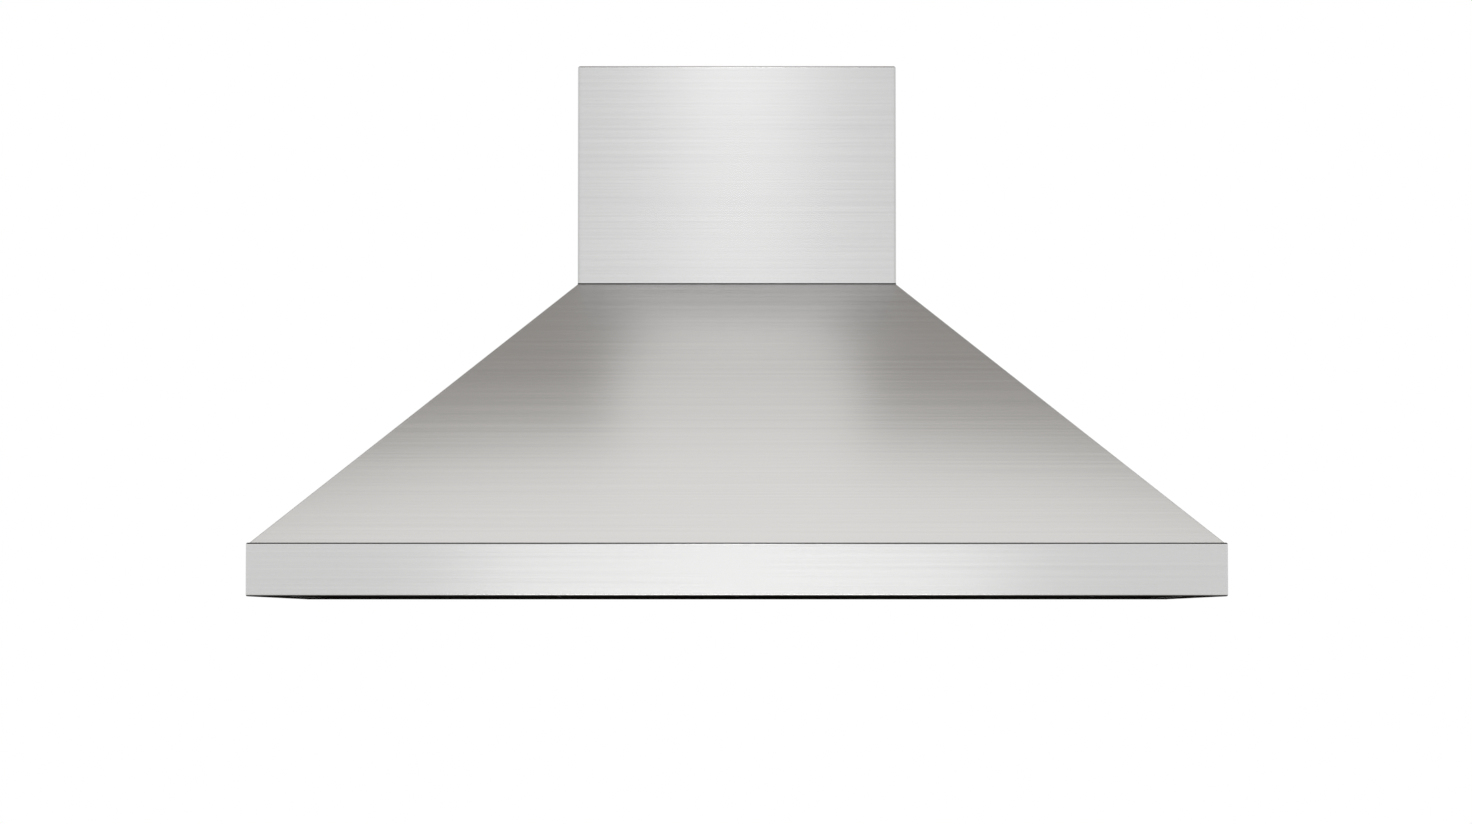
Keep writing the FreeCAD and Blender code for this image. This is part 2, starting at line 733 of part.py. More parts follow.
def side_panel(side, label):
    """Foot on the band's bottom flange, step up to the panel level and riser up to the slanted skin."""
    body = new_body("SidePanel")
    wall = f"({HALF_WIDTH} - band_bottom_flange + panel_foot_setback)"
    foot = f"({wall} + panel_foot_width)"
    riser = f"({OPENING_HALF} + panel_sheet)"
    skin_room = f"({SKIN_HALF} - {SIDE_WALL} - {riser} - side_panel_clearance)"
    riser_top = f"(band_height + {skin_room} * canopy_rise / {SIDE_RUN})"
    profile = [
        (foot, "band_sheet"), (foot, "band_sheet + panel_sheet"),
        (f"{wall} + panel_sheet", "band_sheet + panel_sheet"),
        (f"{wall} + panel_sheet", PANEL_TOP), (riser, PANEL_TOP), (riser, riser_top),
        (OPENING_HALF, riser_top), (OPENING_HALF, "panel_level"), (wall, "panel_level"), (wall, "band_sheet"),
    ]
    section = new_sketch(body, "XZ_Plane", "back_sheet")
    polygon(section, [(f"{side} * ({x})", z) for x, z in profile])
    pad(body, section, f"{PANEL_BACK} - back_sheet")
    rivet_holes(body)
    return subpart(body, label)


def rivet_spots():
    """Where the feet of the front and side panels are riveted to the band's bottom flange."""
    seat = "(band_bottom_flange - panel_foot_setback - (panel_foot_width + panel_sheet) / 2)"
    side = f"({HALF_WIDTH} - {seat})"
    front = f"(hood_depth - {seat})"
    across = int(number("rivet_rows_across"))
    deep = int(number("rivet_rows_deep"))
    step = f"(2 * {OPENING_HALF} / rivet_rows_across)"
    spots = [(f"{k - (across - 1) / 2} * {step}", f"-{front}") for k in range(across)]
    for k in range(deep):
        spots += [(f"{s} * {side}", f"-({PANEL_BACK} * {k + 0.5} / rivet_rows_deep)") for s in (-1, 1)]
    return spots


def rivet_holes(body):
    sketch = new_sketch(body, "XY_Plane")
    for x, y in rivet_spots():
        circle(sketch, x, y, "screw_radius")
    pocket(body, sketch, "band_sheet + 2 * panel_sheet")


def panel_rivets():
    """Flush rivets through the band's flange and the panels' feet, with their tails inside."""
    pieces = []
    for x, y in rivet_spots():
        pieces.append(together([
            cylinder("z", x, y, "0", "screw_radius", "band_sheet + panel_sheet + rivet_tail_height"),
            cylinder("z", x, y, "band_sheet + panel_sheet", "screw_head_radius", "rivet_tail_height"),
        ]))
    return subpart(together(pieces, "Part::Compound"), "panel_rivets")


def grease_trough():
    body = new_body("GreaseTrough")
    half = f"({OPENING_HALF} - trough_end_gap)"
    outline = new_sketch(body, "XY_Plane", "trough_level")
    rectangle(outline, f"-{half}", half, "-trough_depth", "-back_sheet")
    pad(body, outline, "trough_back_height")
    inside = new_sketch(body, "XY_Plane", "trough_level + trough_sheet")
    rectangle(inside, f"-({half} - trough_sheet)", f"{half} - trough_sheet", "-(trough_depth - trough_sheet)",
              "-(back_sheet + trough_sheet)")
    pocket(body, inside, "trough_back_height")
    above = new_sketch(body, "XY_Plane", "trough_level + trough_front_height")
    rectangle(above, f"-({half} + cut_margin)", f"{half} + cut_margin", "-(trough_depth + cut_margin)",
              "-(back_sheet + trough_sheet)")
    pocket(body, above, "trough_back_height")
    drain = new_sketch(body, "XY_Plane", "trough_level")
    circle(drain, "0", "-trough_depth / 2", "drain_radius")
    pocket(body, drain, "trough_sheet")
    return subpart(body, "grease_trough")


CUP_TOP = "(trough_level - runner_sheet)"
CUP_MIDDLE = "(trough_depth / 2)"
CUP_RUNNER = "(cup_span / 2 + cup_rim + cup_slide_clearance)"


def grease_cup():
    """A pressed tray under the drain hole. The rims along its front and back slide on the runners."""
    body = new_body("GreaseCup")
    bottom = f"({CUP_TOP} - cup_depth)"
    half = "(cup_width / 2)"
    front = f"({CUP_MIDDLE} + cup_span / 2)"
    back = f"({CUP_MIDDLE} - cup_span / 2)"
    tray = new_sketch(body, "XY_Plane", bottom)
    rounded_rectangle(tray, f"-{half}", half, f"-{front}", f"-{back}", "cup_corner")
    pad(body, tray, "cup_depth")
    rim = new_sketch(body, "XY_Plane", f"{CUP_TOP} - cup_sheet")
    rectangle(rim, f"-{half}", f"{half} + cup_pull", f"-({front} + cup_rim)", f"-({back} - cup_rim)")
    pad(body, rim, "cup_sheet")
    hollow = new_sketch(body, "XY_Plane", f"{bottom} + cup_sheet")
    rounded_rectangle(hollow, f"-({half} - cup_sheet)", f"({half} - cup_sheet)", f"-({front} - cup_sheet)",
                      f"-({back} + cup_sheet)", "(cup_corner - cup_sheet)")
    pocket(body, hollow, "cup_depth")
    return subpart(body, "grease_cup")


def cup_runners():
    """Two L rails that hang from the trough's floor. Their feet carry the rims of the cup."""
    body = new_body("CupRunners")
    foot_top = f"({CUP_TOP} - cup_sheet - cup_slide_clearance)"
    profile = [
        (CUP_RUNNER, "trough_level"), (f"{CUP_RUNNER} + runner_sheet", "trough_level"),
        (f"{CUP_RUNNER} + runner_sheet", f"{foot_top} - runner_sheet"),
        (f"{CUP_RUNNER} - runner_foot + cup_slide_clearance", f"{foot_top} - runner_sheet"),
        (f"{CUP_RUNNER} - runner_foot + cup_slide_clearance", foot_top), (CUP_RUNNER, foot_top),
    ]
    for side in (-1, 1):
        section = new_sketch(body, "YZ_Plane", "-cup_width / 2")
        polygon(section, [(f"{side} * ({y}) - {CUP_MIDDLE}", z) for y, z in profile])
        pad(body, section, "cup_width")
    return subpart(body, "cup_runners")


def pivot_lugs():
    """Four plates on the front wall of the trough, with slots open at the top for the filter pins."""
    body = new_body("PivotLugs")
    spots = [f"{k} * {FILTER_STEP} / 2" for k in (-3, -1, 1, 3)]
    slot = "(pivot_radius + pivot_clearance)"
    for x in spots:
        plate = new_sketch(body, "YZ_Plane", f"{x} - lug_thickness / 2")
        rectangle(plate, f"-({PIVOT_DEPTH} + lug_ahead)", "-trough_depth", "trough_level",
                  "pivot_level + lug_height")
        pad(body, plate, "lug_thickness")
    for x in spots:
        base = new_sketch(body, "XY_Plane", "trough_level")
        half = "(filter_gap / 2 - lug_base_inset)"
        rectangle(base, f"{x} - {half}", f"{x} + {half}", "-(trough_depth + lug_base_sheet)", "-trough_depth")
        pad(body, base, "trough_front_height")
    bores = new_sketch(body, "YZ_Plane", f"-{HALF_WIDTH}")
    circle(bores, f"-{PIVOT_DEPTH}", "pivot_level", slot)
    pocket(body, bores, "hood_width")
    mouths = new_sketch(body, "YZ_Plane", f"-{HALF_WIDTH}")
    rectangle(mouths, f"-({PIVOT_DEPTH} + {slot})", f"-({PIVOT_DEPTH} - {slot})", "pivot_level",
              "pivot_level + lug_height + cut_margin")
    pocket(body, mouths, "hood_width")
    return subpart(body, "pivot_lugs")


# Baffle filters, each modelled flat about its pivot line and tilted in place

def filter_place(index):
    return {
        "x": f"{index} * {FILTER_STEP}", "y": f"-{PIVOT_DEPTH}", "z": "pivot_level", "turn": "-filter_tilt",
    }


HALF_FILTER = f"({FILTER_WIDTH} / 2)"
HALF_THICK = "(filter_thickness / 2)"
PIN_LENGTH = "(filter_gap / 2 - pin_end_gap / 2)"
TAB_FRONT = f"({FILTER_REACH} - filter_front_gap - handle_setback - latch_tab_thickness)"
BAFFLE_STEP = f"(({FILTER_WIDTH} - 2 * (filter_sheet + baffle_side_gap) - baffle_width) / (baffle_count - 1))"


def filter_frame(index, label):
    body = new_body("FilterFrame")

    def area(level, side, front, back):
        sketch = new_sketch(body, "XY_Plane", level)
        rectangle(sketch, f"-({HALF_FILTER} - {side})", f"{HALF_FILTER} - {side}",
                  f"-({FILTER_REACH} - {front})", f"filter_tail - {back}")
        return sketch

    pad(body, area(f"-{HALF_THICK}", "0", "0", "0"), "filter_thickness")
    pocket(body, area(f"-{HALF_THICK} + filter_sheet", "filter_sheet", "filter_sheet", "filter_sheet"),
           "filter_thickness - 2 * filter_sheet")
    pocket(body, area(f"-{HALF_THICK}", "filter_side_flange", "filter_front_flange", "filter_back_flange"),
           "filter_sheet")
    pocket(body, area(f"{HALF_THICK} - filter_sheet", "filter_side_flange", "filter_back_flange",
                      "filter_back_flange"), "filter_sheet")
    slot = new_sketch(body, "XZ_Plane", f"{FILTER_REACH} - 2 * filter_sheet")
    half_slot = "(latch_width / 2 + latch_clearance)"
    low = f"(-{HALF_THICK} + filter_sheet)"
    rectangle(slot, f"-{half_slot}", half_slot, low, f"{low} + latch_thickness + 2 * latch_clearance")
    pocket(body, slot, "3 * filter_sheet")
    finger = new_sketch(body, "XY_Plane", f"-{HALF_THICK}")
    half_tab = "(latch_tab_width / 2 + latch_tab_gap)"
    rectangle(finger, f"-{half_tab}", half_tab, f"-({TAB_FRONT} + latch_tab_gap)",
              f"-({TAB_FRONT} - latch_tab_thickness - latch_travel - latch_tab_gap)")
    pocket(body, finger, "filter_sheet")
    for side in (-1, 1):
        pins = new_sketch(body, "YZ_Plane", f"{side} * {HALF_FILTER}")
        circle(pins, "0", "0", "pivot_radius")
        pad(body, pins, PIN_LENGTH, backwards=side < 0)
    return subpart(body, label, **filter_place(index))


def filter_baffles(index, label):
    """Two rows of channels that face each other, so that air turns twice between them."""
    body = new_body("FilterBaffles")
    front = f"({FILTER_REACH} - filter_front_flange - baffle_end_gap)"
    back = "(filter_tail - filter_sheet - baffle_end_gap)"
    half = "(baffle_width / 2)"
    floor = f"({HALF_THICK} - filter_sheet)"
    web = f"({floor} - baffle_sheet)"
    leg_end = f"({floor} - baffle_leg)"
    inside = f"({half} - baffle_sheet)"
    for gaps, face in (("(baffle_count - 1)", -1), ("(baffle_count - 2)", 1)):
        section = new_sketch(body, "XZ_Plane", f"-{back}")
        profile = [
            (f"-{half}", floor), (half, floor), (half, leg_end), (inside, leg_end), (inside, web),
            (f"-{inside}", web), (f"-{inside}", leg_end), (f"-{half}", leg_end),
        ]
        polygon(section, [(f"{x} - {gaps} / 2 * {BAFFLE_STEP}", f"{face} * ({z})") for x, z in profile])
        channel = pad(body, section, f"{front} + {back}")
        linear_pattern(body, channel, "X_Axis", f"{gaps} * {BAFFLE_STEP}", f"{gaps} + 1")
    return subpart(body, label, **filter_place(index))


def filter_handle(index, label):
    """A bent wire bail welded under the front flange."""
    body = new_body("FilterHandle")
    depth = f"({FILTER_REACH} - handle_setback)"
    half = "(handle_span / 2)"
    low = f"(-{HALF_THICK} - handle_drop)"
    path = new_sketch(body, "XZ_Plane", depth)
    top = f"(-{HALF_THICK})"
    corners = [(f"-{half}", top), (f"-{half}", low), (half, low), (half, top)]
    points = [FreeCAD.Vector(number(x), number(y), 0) for x, y in corners]
    bend = number("handle_bend_radius")
    quarter = FreeCAD.Vector(bend, 0, 0)
    rise = FreeCAD.Vector(0, bend, 0)
    normal = FreeCAD.Vector(0, 0, 1)
    path.addGeometry(Part.LineSegment(points[0], points[1] + rise))
    first_bend = Part.Circle(points[1] + quarter + rise, normal, bend)
    second_bend = Part.Circle(points[2] - quarter + rise, normal, bend)
    path.addGeometry(Part.ArcOfCircle(first_bend, math.pi, 1.5 * math.pi))
    path.addGeometry(Part.LineSegment(points[1] + quarter, points[2] - quarter))
    path.addGeometry(Part.ArcOfCircle(second_bend, 1.5 * math.pi, 2 * math.pi))
    path.addGeometry(Part.LineSegment(points[2] + rise, points[3]))
    pin_point(path, 0, 1, *corners[0])
    pin_point(path, 4, 2, *corners[3])
    for first in range(4):
        path.addConstraint(Sketcher.Constraint("Tangent", first, 2, first + 1, 1))
    path.addConstraint(Sketcher.Constraint("Vertical", 0))
    path.addConstraint(Sketcher.Constraint("Vertical", 4))
    path.addConstraint(Sketcher.Constraint("Horizontal", 2))
    datum(path, "Radius", 1, text="handle_bend_radius")
    datum(path, "DistanceY", -1, 1, 2, 1, text=low)
    section = new_sketch(body, "XY_Plane", top)
    circle(section, f"-{half}", f"-{depth}", "handle_wire_radius")
    doc.recompute()
    pipe = body.newObject("PartDesign::AdditivePipe", "HandlePipe")
    pipe.Profile = section
    pipe.Spine = (path, [])
    doc.recompute()
    return subpart(body, label, **filter_place(index))


def filter_latch(index, label):
    """The sliding bolt that rests on the front panel's lip, with a finger tab below the frame."""
    half = "(latch_width / 2)"
    low = f"(-{LATCH_LOW})"
    top = f"({low} + latch_thickness)"
    tip = f"({FILTER_REACH} + filter_front_gap + latch_engagement)"
    bolt = box(f"-{half}", half, f"-{tip}", f"-({tip} - latch_length)", low, top)
    tab = box("-latch_tab_width / 2", "latch_tab_width / 2", f"-{TAB_FRONT}",
              f"-({TAB_FRONT} - latch_tab_thickness)", f"-{HALF_THICK} - latch_tab_height", top)
    return subpart(together([bolt, tab]), label, **filter_place(index))


# Blower

def blower_plate():
    body = new_body("BlowerPlate")
    outline = new_sketch(body, "XY_Plane", PLATE_UNDER)
    half = "(flue_width / 2 - blower_plate_margin)"
    rectangle(outline, f"-{half}", half, "-(flue_depth - blower_plate_margin)", "-(back_flange + skin_sheet)")
    pad(body, outline, "blower_plate_sheet")
    holes = new_sketch(body, "XY_Plane", PLATE_UNDER)
    circle(holes, "0", "-collar_from_wall", OUTLET_HALF)
    for x, y in plate_screw_spots() + scroll_screw_spots() + collar_screw_spots():
        circle(holes, x, y, "screw_hole_radius")
    pocket(body, holes, "blower_plate_sheet")
    return subpart(body, "blower_plate")


def corners(half_x, half_y, y):
    return [(f"{s} * {half_x}", f"-({y} + {t} * {half_y})") for s in (-1, 1) for t in (-1, 1)]


def plate_screw_spots():
    """Where the plate hangs from the top flange of the canopy."""
    return corners("(flue_width / 2 - skin_top_flange / 2)", "(flue_depth / 3)", "collar_from_wall")


def scroll_screw_spots():
    """Where the blower hangs from the plate, in the flanges of its side plates."""
    return corners(f"({SCROLL_SIDE_FACE} + scroll_flange / 2)", f"({OUTLET_HALF} - scroll_flange)",
                   "collar_from_wall")


def collar_screw_spots():
    ring = "((collar_radius + collar_flange_radius) / 2)"
    return corners(f"({ring} * cos(collar_screw_angle))", f"({ring} * sin(collar_screw_angle))",
                   "collar_from_wall")


def volute(sketch, extra):
    """The closed outline of the scroll about the wheel's axis: outlet neck, and three quarter arcs
    whose centres are corners of a square of side scroll_step, each arc one step larger."""
    near_side = f"({SCROLL_BACK_RADIUS} - 2 * {OUTLET_HALF} - {extra})"
    back = f"({SCROLL_BACK_RADIUS} + {extra})"
    neck_top = f"({PLATE_UNDER} - {BLOWER_LEVEL})"
    step = "(scroll_step / 2)"
    radii = [f"({SCROLL_TOP_RADIUS} + {k} * scroll_step + scroll_step / 2 + {extra})" for k in range(3)]
    centres = [(f"-{step}", f"-{step}"), (step, f"-{step}"), (step, step)]
    tongue = f"sqrt({radii[0]}^2 - ({near_side} + {step})^2) - {step}"
    spots = [
        (near_side, neck_top), (near_side, tongue), (f"-{step} - {radii[0]}", f"-{step}"),
        (step, f"-{step} - {radii[1]}"), (back, step), (back, neck_top),
    ]
    p = [FreeCAD.Vector(number(x), number(y), 0) for x, y in spots]
    c = [FreeCAD.Vector(number(x), number(y), 0) for x, y in centres]
    sketch.addGeometry(Part.LineSegment(p[0], p[1]))
    for k in range(3):
        turn = Part.Circle(c[k], FreeCAD.Vector(0, 0, 1), number(radii[k]))
        sketch.addGeometry(Part.ArcOfCircle(turn, turn.parameter(p[k + 1]), turn.parameter(p[k + 2])))
    sketch.addGeometry(Part.LineSegment(p[4], p[5]))
    sketch.addGeometry(Part.LineSegment(p[5], p[0]))
    for k in range(6):
        sketch.addConstraint(Sketcher.Constraint("Coincident", k, 2, (k + 1) % 6, 1))
    for k in range(3):
        pin_point(sketch, k + 1, 3, *centres[k])
    pin_point(sketch, 0, 1, *spots[0])
    sketch.addConstraint(Sketcher.Constraint("Vertical", 0))
    datum(sketch, "Radius", 1, text=radii[0])
    datum(sketch, "DistanceY", -1, 1, 1, 2, text=spots[2][1])
    datum(sketch, "DistanceX", -1, 1, 2, 2, text=spots[3][0])
    datum(sketch, "DistanceY", -1, 1, 3, 2, text=spots[4][1])
    sketch.addConstraint(Sketcher.Constraint("Vertical", 4))
    sketch.addConstraint(Sketcher.Constraint("Horizontal", 5))


BLOWER_PLACE = {"y": f"-{BLOWER_DEPTH}", "z": BLOWER_LEVEL}


def scroll_wrapper():
    body = new_body("ScrollWrapper")
    outer = new_sketch(body, "YZ_Plane", "-scroll_half_width")
    volute(outer, "scroll_sheet")
    pad(body, outer, "2 * scroll_half_width")
    inner = new_sketch(body, "YZ_Plane", f"-{SCROLL_SIDE_FACE}")
    volute(inner, "0")
    pocket(body, inner, f"2 * {SCROLL_SIDE_FACE}")
    return subpart(body, "scroll_wrapper", **BLOWER_PLACE)


def scroll_side(side, label):
    body = new_body("ScrollSide")
    start = "scroll_half_width" if side > 0 else f"-{SCROLL_SIDE_FACE}"
    face = new_sketch(body, "YZ_Plane", start)
    volute(face, "scroll_sheet")
    pad(body, face, "scroll_sheet")
    inlet = new_sketch(body, "YZ_Plane", start)
    circle(inlet, "0", "0", "inlet_radius + inlet_bend")
    pocket(body, inlet, "scroll_sheet")
    flange_start = SCROLL_SIDE_FACE if side > 0 else f"-{SCROLL_SIDE_FACE} - scroll_flange"
    flange = new_sketch(body, "YZ_Plane", flange_start)
    top = f"({PLATE_UNDER} - {BLOWER_LEVEL})"
    rectangle(flange, f"{SCROLL_BACK_RADIUS} - 2 * {OUTLET_HALF}", SCROLL_BACK_RADIUS,
              f"{top} - scroll_sheet", top)
    pad(body, flange, "scroll_flange")
    holes = new_sketch(body, "XY_Plane", f"{top} - scroll_sheet")
    for x, y in scroll_screw_spots():
        if x.startswith("-1") == (side < 0):
            circle(holes, x, f"{y} + {BLOWER_DEPTH}", "screw_hole_radius")
    pocket(body, holes, "scroll_sheet")
    return subpart(body, label, **BLOWER_PLACE)


def inlet_ring(side, label):
    """A bell-mouth spun from sheet: flat flange outside, throat turned in towards the wheel."""
    body = new_body("InletRing")
    profile = new_sketch(body, "XY_Plane")
    face = SCROLL_SIDE_FACE
    outside = f"({face} + scroll_sheet)"
    bend_end = f"({face} - inlet_bend)"
    throat = f"({face} - inlet_overlap)"
    points = [
        (face, "inlet_flange_radius"), (outside, "inlet_flange_radius"),
        (outside, "inlet_radius + inlet_bend"), (face, "inlet_radius + scroll_sheet / 2"),
        (bend_end, "inlet_radius"), (throat, "inlet_radius"),
        (throat, "inlet_radius + scroll_sheet"), (bend_end, "inlet_radius + scroll_sheet"),
        (f"{face} - scroll_sheet", "inlet_radius + inlet_bend - scroll_sheet"),
        (face, "inlet_radius + inlet_bend"),
    ]
    polygon(profile, [(f"{side} * ({x})", r) for x, r in points])
    revolve(body, profile, "X_Axis")
    return subpart(body, label, **BLOWER_PLACE)


def wheel_disc():
    """Middle disc of the double-inlet wheel with its hub, and a slot for each blade."""
    body = new_body("WheelDisc")
    half_disc = "(wheel_ring_thickness / 2)"
    profile = new_sketch(body, "XY_Plane")
    polygon(profile, [
        (f"-{half_disc}", "wheel_radius"), (f"-{half_disc}", "hub_radius"),
        ("-hub_length / 2", "hub_radius"), ("-hub_length / 2", "shaft_radius"),
        ("hub_length / 2", "shaft_radius"), ("hub_length / 2", "hub_radius"),
        (half_disc, "hub_radius"), (half_disc, "wheel_radius"),
    ])
    revolve(body, profile, "X_Axis")
    slot = new_sketch(body, "YZ_Plane", f"-{half_disc}")
    blade_outline(slot)
    opening = pocket(body, slot, "wheel_ring_thickness")
    polar_pattern(body, opening, "X_Axis", "blade_count")
    return subpart(body, "wheel_disc", **BLOWER_PLACE)


def wheel_blades():
    """The cage round the disc: curved blades that run through its slots, and a ring over each end."""
    face = "(wheel_half_width - wheel_ring_thickness)"
    blades = new_body("WheelBlades")
    blade = new_sketch(blades, "YZ_Plane", f"-{face}")
    blade_outline(blade)
    strip = pad(blades, blade, f"2 * {face}")
    polar_pattern(blades, strip, "X_Axis", "blade_count")
    pieces = [blades]
    for start in (f"-{face} - wheel_ring_thickness", face):
        ring = new_body("WheelRing")
        outline = new_sketch(ring, "YZ_Plane", start)
        circle(outline, "0", "0", "wheel_radius")
        circle(outline, "0", "0", "wheel_radius - wheel_ring_width")
        pad(ring, outline, "wheel_ring_thickness")
        pieces.append(ring)
    return subpart(together(pieces, "Part::Compound"), "wheel_blades", **BLOWER_PLACE)


def blade_outline(sketch):
    """A strip between two concentric arcs that span the width of the end rings."""
    middle = "(wheel_radius - wheel_ring_width / 2)"
    radii = ("blade_bow", "(blade_bow + blade_thickness)")
    centre = (middle, "-blade_bow_drop")
    spots = {}
    for ring, radius in enumerate(radii):
        for end, angle in enumerate(("(90 - blade_spread)", "(90 + blade_spread)")):
            spots[ring, end] = (f"{middle} + {radius} * cos({angle})",
                                f"-blade_bow_drop + {radius} * sin({angle})")
    p = {key: FreeCAD.Vector(number(x), number(y), 0) for key, (x, y) in spots.items()}
    c = FreeCAD.Vector(number(centre[0]), number(centre[1]), 0)
    for ring, radius in enumerate(radii):
        turn = Part.Circle(c, FreeCAD.Vector(0, 0, 1), number(radius))
        sketch.addGeometry(Part.ArcOfCircle(turn, turn.parameter(p[ring, 0]), turn.parameter(p[ring, 1])))
    for end in (0, 1):
        sketch.addGeometry(Part.LineSegment(p[0, end], p[1, end]))
    pin_point(sketch, 0, 3, *centre)
    sketch.addConstraint(Sketcher.Constraint("Coincident", 0, 3, 1, 3))
    for ring in (0, 1):
        datum(sketch, "Radius", ring, text=radii[ring])
        for end in (0, 1):
            datum(sketch, "DistanceX", -1, 1, ring, end + 1, text=spots[ring, end][0])
            sketch.addConstraint(Sketcher.Constraint("Coincident", 2 + end, ring + 1, ring, end + 1))


def fan_shaft():
    body = round_bar("FanShaft", "YZ_Plane", "shaft_radius", "hub_length / 2 - shaft_length", "shaft_length")
    return subpart(body, "fan_shaft", **BLOWER_PLACE)


def motor():
    """Capacitor-run motor inside the left half of the wheel: stator shell with two end bells."""
    body = new_body("Motor")
    profile = new_sketch(body, "XY_Plane")
    near_end = "(hub_length / 2 + motor_hub_gap)"
    far_end = f"({near_end} + motor_length)"
    bore = "shaft_radius + motor_shaft_clearance"
    points = [
        (near_end, bore), (near_end, "motor_boss_radius"),
        (f"{near_end} + motor_bell_length / 2", "motor_boss_radius + motor_boss_flare"),
        (f"{near_end} + motor_bell_length", "motor_bell_radius"),
        (f"{near_end} + motor_bell_length", "motor_radius"),
        (f"{far_end} - motor_bell_length", "motor_radius"),
        (f"{far_end} - motor_bell_length", "motor_bell_radius"), (far_end, "motor_nose_radius"),
        (far_end, bore),
    ]
    polygon(profile, [(f"-({x})", r) for x, r in points])
    revolve(body, profile, "X_Axis")
    return subpart(body, "motor", **BLOWER_PLACE)


def motor_bracket():
    """Three arms across the left inlet, with pads that stand on the scroll's side plate."""
    body = new_body("MotorBracket")
    motor_end = "(hub_length / 2 + motor_hub_gap + motor_length)"
    disc = new_sketch(body, "YZ_Plane", f"-{motor_end}")
    circle(disc, "0", "0", "motor_plate_radius")
    pad(body, disc, "motor_bracket_sheet", backwards=True)
    arm = new_sketch(body, "YZ_Plane", f"-{motor_end}")
    rectangle(arm, "-motor_arm_width / 2", "motor_arm_width / 2", "motor_radius / 2", "motor_arm_reach")
    spoke = pad(body, arm, "motor_bracket_sheet", backwards=True)
    polar_pattern(body, spoke, "X_Axis", "motor_arm_count")
    foot = new_sketch(body, "YZ_Plane", f"-{SCROLL_SIDE_FACE}")
    rectangle(foot, "-motor_arm_width / 2", "motor_arm_width / 2", "inlet_flange_radius + scroll_sheet",
              "motor_arm_reach")
    stand = pad(body, foot, f"{motor_end} + motor_bracket_sheet - {SCROLL_SIDE_FACE}", backwards=True)
    polar_pattern(body, stand, "X_Axis", "motor_arm_count")
    bore = new_sketch(body, "YZ_Plane", f"-({motor_end} + motor_bracket_sheet)")
    circle(bore, "0", "0", "motor_plate_bore")
    pocket(body, bore, "motor_bracket_sheet")
    return subpart(body, "motor_bracket", **BLOWER_PLACE)


def sheet_screws():
    """The screws through the blower plate, four up to the canopy's flange, four for the blower and four
    for the collar, and the two that hold the duct cover to its bracket."""
    hanging = "(skin_sheet + blower_plate_sheet + screw_radius)"
    blower = "(scroll_sheet + blower_plate_sheet + screw_radius)"
    collar = "(collar_sheet + gasket_thickness + blower_plate_sheet)"
    arm = "(flue_sheet + bracket_clearance + bracket_sheet + screw_radius)"
    low = f"{PLATE_UNDER} - scroll_sheet"
    pieces = [screw("z", x, y, f"{CANOPY_TOP} - {hanging}", hanging, True) for x, y in plate_screw_spots()]
    pieces += [screw("z", x, y, low, blower, False) for x, y in scroll_screw_spots()]
    pieces += [screw("z", x, y, PLATE_UNDER, collar, True) for x, y in collar_screw_spots()]
    pieces.append(screw("x", f"flue_width / 2 - {arm}", f"-{ARM_DEPTH}", BRACKET_LEVEL, arm, True))
    pieces.append(screw("x", "-flue_width / 2", f"-{ARM_DEPTH}", BRACKET_LEVEL, arm, False))
    return subpart(together(pieces, "Part::Compound"), "sheet_screws")


# Duct collar and damper

def collar_gasket():
    ring = cylinder("z", "0", "-collar_from_wall", PLATE_TOP, "collar_flange_radius", "gasket_thickness")
    low = f"{PLATE_TOP} - cut_margin"
    through = "gasket_thickness + 2 * cut_margin"
    hole = cylinder("z", "0", "-collar_from_wall", low, OUTLET_HALF, through)
    screws = [cylinder("z", x, y, low, "screw_hole_radius", through) for x, y in collar_screw_spots()]
    return subpart(cut(ring, [hole] + screws), "collar_gasket")


def duct_collar():
    body = new_body("DuctCollar")
    profile = new_sketch(body, "XZ_Plane")
    inner = OUTLET_HALF
    polygon(profile, [
        (inner, "0"), ("collar_flange_radius", "0"), ("collar_flange_radius", "collar_sheet"),
        ("collar_radius", "collar_sheet"), ("collar_radius", "collar_height"), (inner, "collar_height"),
    ])
    revolve(body, profile, "Z_Axis")
    holes = new_sketch(body, "XY_Plane")
    for x, y in collar_screw_spots():
        circle(holes, x, f"{y} + collar_from_wall", "screw_hole_radius")
    pocket(body, holes, "collar_sheet")
    rod = new_sketch(body, "XZ_Plane", "-collar_radius")
    circle(rod, "0", "damper_rod_level", "damper_rod_radius")
    pocket(body, rod, "2 * collar_radius")
    for side in (-1, 1):
        stop = new_sketch(body, "YZ_Plane", f"{side} * ({OUTLET_HALF} - flap_stop_reach)")
        circle(stop, "0", "damper_rod_level - flap_thickness / 2 - flap_stop_gap - flap_stop_radius",
               "flap_stop_radius")
        pad(body, stop, "flap_stop_reach + collar_sheet / 2", backwards=side < 0)
    return subpart(body, "duct_collar", y="-collar_from_wall", z=COLLAR_BASE)


def damper_rod():
    body = round_bar("DamperRod", "XZ_Plane", "damper_rod_radius", f"-({OUTLET_HALF} + collar_sheet / 2)",
                     f"2 * {OUTLET_HALF} + collar_sheet")
    return subpart(body, "damper_rod", y="-collar_from_wall", z=f"{COLLAR_BASE} + damper_rod_level")


